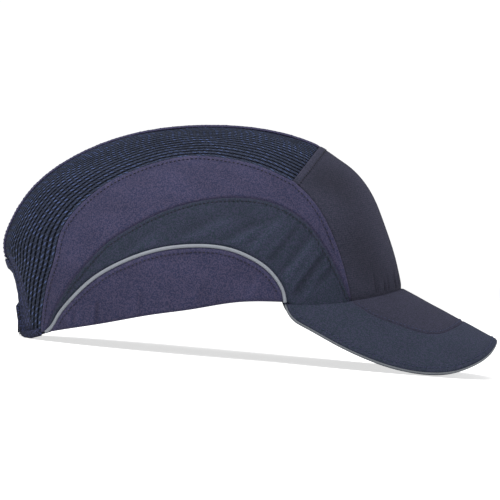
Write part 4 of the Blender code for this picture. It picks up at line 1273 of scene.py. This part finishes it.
def adjuster():
    strap = arc_strap("adjuster_webbing", STRAP_INNER, STRAP_START, STRAP_END, "strap", "adjuster_strap",
                      150, 81)
    arc_strap("anchor_webbing", ANCHOR_INNER, ANCHOR_START, ANCHOR_END, "cap", "strap_anchor", 60, 82)
    for node in ("buckle_frame", "buckle_lever", "buckle_pin", "strap_keeper"):
        frame["nodes"][node].data.materials[0] = BUCKLE
    for node, width in (("buckle_frame", 0.00018), ("buckle_lever", 0.00025)):
        modify(frame["nodes"][node], "Soft edges", "BEVEL", width=width, segments=3, limit_method="ANGLE",
               angle_limit=radians(40))
    lines = [stitch_line(strap, "u1", inset) for inset in (2.0, 3.4)]
    stitches("strap_end_stitching", lines, THREAD, "strap", 1.9, 1.3, 0.16)


# ---- insert

rim_height = spline(*zip(*RIM))
brim_height = spline(*zip(*BRIM))


def rim_angle(start, swing, depth):
    """The angle at which a crown layer meets the insert's rim, beginning from a guess."""
    guess = np.full(np.shape(swing), start)
    for _ in range(30):
        point = crown(guess, swing, depth)
        reach = np.maximum(np.hypot(point[..., 0] - EAR_X, point[..., 2] - EAR_Z), 1.0)
        target = np.arcsin(np.clip((rim_height(point[..., 0]) - EAR_Z) / reach, -1, 1))
        guess = 0.5 * guess + 0.5 * (pi - target if start > pi / 2 else target)
    return guess


def vent_places():
    rows = [(angle, swing) for angle in (62, 84, 106, 128) for swing in (-14, 14)]
    rows += [(angle, swing) for angle in (72, 95, 118) for swing in (-34, 34)]
    return rows + [(angle, swing) for angle in (84, 106) for swing in (-52, 52)]


def vent_cutter():
    """One mesh of rounded slots that cut through the shell."""
    verts, faces = [], []
    sides = 28
    for angle, swing in vent_places():
        a, s = radians(angle), radians(swing)
        place = crown(a, s, 4.0)
        forward = crown(a - 0.03, s, 4.0) - place
        forward /= np.linalg.norm(forward)
        across = crown(a, s + 0.03, 4.0) - place
        normal = np.cross(forward, across)
        normal /= np.linalg.norm(normal)
        sideways = np.cross(normal, forward)
        first = len(verts)
        for level in (-6, 6):
            for k in range(sides):
                turn = 2 * pi * k / sides
                reach = (8.0 if cos(turn) > 0 else -8.0) + 3.0 * cos(turn)
                verts.append(place + forward * reach + sideways * 3.0 * sin(turn) + normal * level)
        low = [first + k for k in range(sides)]
        high = [first + sides + k for k in range(sides)]
        faces += [tuple(low), tuple(high[::-1])]
        faces += [(low[k], low[(k + 1) % sides], high[(k + 1) % sides], high[k]) for k in range(sides)]
    mesh = bpy.data.meshes.new("vent_cutter")
    mesh.from_pydata(to_row(np.array(verts)).tolist(), [], faces)
    face_outward(mesh, False)
    return add_object("vent_cutter", mesh)


def shell():
    widest = swing_at(np.array(-78.0))

    def surface(u, v, depth):
        swing = widest * (1 - 2 * v)
        front = rim_angle(0.2, swing, SHELL_LAYER[0])
        rear = rim_angle(3.0, swing, SHELL_LAYER[0])
        return crown(front + (rear - front) * u, swing, depth)

    def ribs(s):
        edge = np.minimum(np.minimum(s.to_u0, s.to_u1), np.minimum(s.to_v0, s.to_v1))
        return -0.5 * bump(edge, 0.5) + 0.35 * bump(edge - 3.0, 1.4)
    sheet = cloth("vented_shell", surface, (110, 96), SHELL_LAYER, (0, 0, 0, 0),
                  lambda s: -0.3 * bump(s.to_v0, 0.4), SHELL, body="insert", replaced=("protective_shell",),
                  under_relief=ribs, crowding=0.3)
    cutter = vent_cutter()
    modify(sheet.piece, "Vents", "BOOLEAN", operation="DIFFERENCE", solver="EXACT", object=cutter)
    apply_modifiers(sheet.piece)
    bpy.data.objects.remove(cutter)


def apply_modifiers(piece):
    """Replace a piece's mesh with its evaluated mesh."""
    view = bpy.context.evaluated_depsgraph_get()
    mesh = bpy.data.meshes.new_from_object(piece.evaluated_get(view))
    piece.modifiers.clear()
    piece.data = mesh


PAD_VOXEL = 0.0016
PAD_SWELL_LIMIT = 0.0009
PAD_FRAMES = 12
PAD_SKIN = {
    "quality": 6, "mass": 0.2, "tension_stiffness": 25, "compression_stiffness": 25,
    "bending_stiffness": 0.6, "use_pressure": True, "uniform_pressure_force": 4.0,
}


def padded(node, name):
    """Foam pad puffed out of its CAD solid by a short pressure simulation."""
    piece = add_object(name, frame["nodes"][node].data.copy())
    modify(piece, "Even", "REMESH", mode="VOXEL", voxel_size=PAD_VOXEL)
    apply_modifiers(piece)
    start = np.array([v.co for v in piece.data.vertices])
    simulate(piece)
    move = np.array([v.co for v in piece.data.vertices]) - start
    size = np.linalg.norm(move, axis=1, keepdims=True)
    end = start + move * np.minimum(1, PAD_SWELL_LIMIT / np.maximum(size, 1e-9))
    for vertex, place in zip(piece.data.vertices, end):
        vertex.co = place
    modify(piece, "Soften", "SMOOTH", iterations=4, factor=0.6)
    modify(piece, "Divide", "SUBSURF", levels=1, render_levels=1)
    apply_modifiers(piece)
    for face in piece.data.polygons:
        face.use_smooth = True
    piece.data.materials.clear()
    piece.data.materials.append(FOAM)
    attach(piece, "insert")
    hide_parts(node)


def simulate(piece):
    """Blow the pad up a little; its closed foam skin keeps the bulge soft."""
    scene = bpy.context.scene
    bpy.context.view_layer.objects.active = piece
    skin = modify(piece, "Skin", "CLOTH")
    for setting, value in PAD_SKIN.items():
        setattr(skin.settings, setting, value)
    skin.settings.effector_weights.gravity = 0.0
    skin.collision_settings.use_collision = False
    skin.point_cache.frame_start = 1
    skin.point_cache.frame_end = PAD_FRAMES
    for step in range(1, PAD_FRAMES + 1):
        scene.frame_set(step)
    apply_modifiers(piece)
    scene.frame_set(1)


def sweatband():
    reach = radians(135)

    def surface(u, v, depth):
        turn = reach * (2 * u - 1)
        height = brim_height(np.abs(np.degrees(turn))) + 0.5 + BAND_HEIGHT * v

        def inside(out):
            return half_width_at(EAR_X + out * np.cos(turn), height, depth) > np.abs(out * np.sin(turn))
        out = last_inside(inside, 20.0, 140.0, np.shape(turn + height), 24)
        return np.stack((EAR_X + out * np.cos(turn), out * np.sin(turn), height), -1)

    def padding(s):
        edges = -1.0 * (bump(s.to_v0, 0.8) + bump(s.to_v1, 0.8) + bump(s.to_u0, 0.8) + bump(s.to_u1, 0.8))
        rows = -0.9 * (bump(s.to_v0 - 3.2, 1.0) + bump(s.to_v1 - 3.2, 1.0))
        puff = 0.8 * smooth(3, 9, s.to_v0) * smooth(3, 9, s.to_v1)
        wrinkle = 0.22 * waves(92, s.along, 9) * smooth(2, 8, s.to_v0) * smooth(2, 8, s.to_v1)
        wrinkle += 0.18 * waves(93, s.along, 4.5) * (bump(s.to_v0 - 4.5, 3) + bump(s.to_v1 - 4.5, 3))
        return edges + rows + puff + wrinkle
    sheet = cloth("sweatband_towel", surface, (420, 36), (5.7, 7.6), (0, 0, 0, 0), None, TOWEL, body="insert",
                  replaced=("sweatband",), under_relief=padding)
    sheet.top, sheet.bottom = sheet.bottom, sheet.top
    lines = [stitch_line(sheet, "v0", 3.2), stitch_line(sheet, "v1", 3.2)]
    stitches("sweatband_stitching", lines, DARK_THREAD, "insert")


# ---- stage

FLOOR_GLOW = 0.69
FLOOR_BOUNCE = 0.12
FLOOR_REACH = 12.0
FLOOR_GAP = 0.0002
SOFTBOX_POWER = 48.0
SOFTBOX_SIZE = 1.8
SOFTBOX_PLACE = Vector((-0.3, -0.7, 2.2))
SOFTBOX_AIM = Vector((0.0, 0.0, 0.05))
ROOM_LIGHT = 0.35
BACKGROUND_GLOW = 1.05


def floor():
    """A pale floor that follows the insert down, so that a lifted-out insert doesn't sink into it."""
    corners = [(x * FLOOR_REACH, y * FLOOR_REACH, 0) for x, y in ((-1, -1), (1, -1), (1, 1), (-1, 1))]
    mesh = bpy.data.meshes.new("floor")
    mesh.from_pydata(corners, [], [(0, 1, 2, 3)])
    sheet = add_object("floor", mesh)
    g = Graph("pale_floor")
    dust = g.noise(g.place(), 3.0)
    g.shader.inputs["Emission Color"].default_value = (1, 1, 1, 1)
    ray = g.get("LightPath", {}, output="Is Camera Ray")
    g.put(g.shader.inputs["Emission Strength"], g.ramp(ray, 0.0, 1.0, FLOOR_BOUNCE, FLOOR_GLOW))
    mesh.materials.append(g.finish(g.scaled((0.9, 0.9, 0.9), 0.98 + dust * 0.04), 0.9, specular=0.1))
    sheet.location.z = -FLOOR_GAP
    drop = sheet.constraints.new("COPY_LOCATION")
    drop.target = frame["bodies"]["insert"]
    drop.use_x = drop.use_y = False
    drop.use_offset = True


def softbox():
    data = bpy.data.lights.new("softbox", "AREA")
    data.energy = SOFTBOX_POWER
    data.size = SOFTBOX_SIZE
    lamp = add_object("softbox", data)
    lamp.location = SOFTBOX_PLACE
    lamp.rotation_mode = "QUATERNION"
    lamp.rotation_quaternion = (SOFTBOX_AIM - SOFTBOX_PLACE).to_track_quat("-Z", "Y")


def studio():
    """A white room: pure white behind the object, and a gentler light on it."""
    world = bpy.data.worlds.new("studio")
    bpy.context.scene.world = world
    world.use_nodes = True
    nodes, links = world.node_tree.nodes, world.node_tree.links
    ray = nodes.new("ShaderNodeLightPath")
    level = nodes.new("ShaderNodeMapRange")
    level.inputs["To Min"].default_value = ROOM_LIGHT
    level.inputs["To Max"].default_value = BACKGROUND_GLOW
    links.new(ray.outputs["Is Camera Ray"], level.inputs["Value"])
    nodes["Background"].inputs["Color"].default_value = (1, 1, 1, 1)
    links.new(level.outputs["Result"], nodes["Background"].inputs["Strength"])
    bpy.context.scene.view_settings.view_transform = "Standard"


CAMERA_X = 27.3
CAMERA_Z = 50.3
CAMERA_DISTANCE = 2000.0
FRAME_WIDTH = 289.5
SENSOR = 36.0


def camera():
    data = bpy.data.cameras.new("camera")
    data.sensor_width = SENSOR
    data.lens = SENSOR * CAMERA_DISTANCE / FRAME_WIDTH
    data.clip_end = 100
    eye = add_object("camera", data)
    back = TURN @ np.array((0, -1, 0))
    up = TURN @ np.array((0, 0, 1))
    right = TURN @ np.array((1, 0, 0))
    turn = Matrix((right, up, back)).transposed().to_4x4()
    eye.matrix_world = Matrix.Translation(to_row((CAMERA_X, -CAMERA_DISTANCE, CAMERA_Z))) @ turn
    bpy.context.scene.camera = eye


# ---- build

for cap_side in ("right", "left"):
    mesh_panel(cap_side)
    binding_heel(cap_side)
    lines = upper_panel(cap_side) + middle_panel(cap_side)
    stitches("panel_stitching_" + cap_side, lines, DARK_THREAD)
    stitches("lower_stitching_" + cap_side, lower_panel(cap_side), DARK_THREAD)
    side_piping(cap_side)
    hem_tape(cap_side)
visor_tape()
stitches("front_stitching", front_panel(), DARK_THREAD)
stitches("strip_stitching", centre_strip(), THREAD)
stitches("binding_stitching", binding(), THREAD)
stitches("visor_stitching", visor_pieces(), THREAD)
adjuster()
shell()
for pad in ("crown_pad", "front_pad", "rear_pad", "side_pad_right", "side_pad_left"):
    padded(pad, pad + "_foam")
sweatband()
floor()
studio()
softbox()
camera()
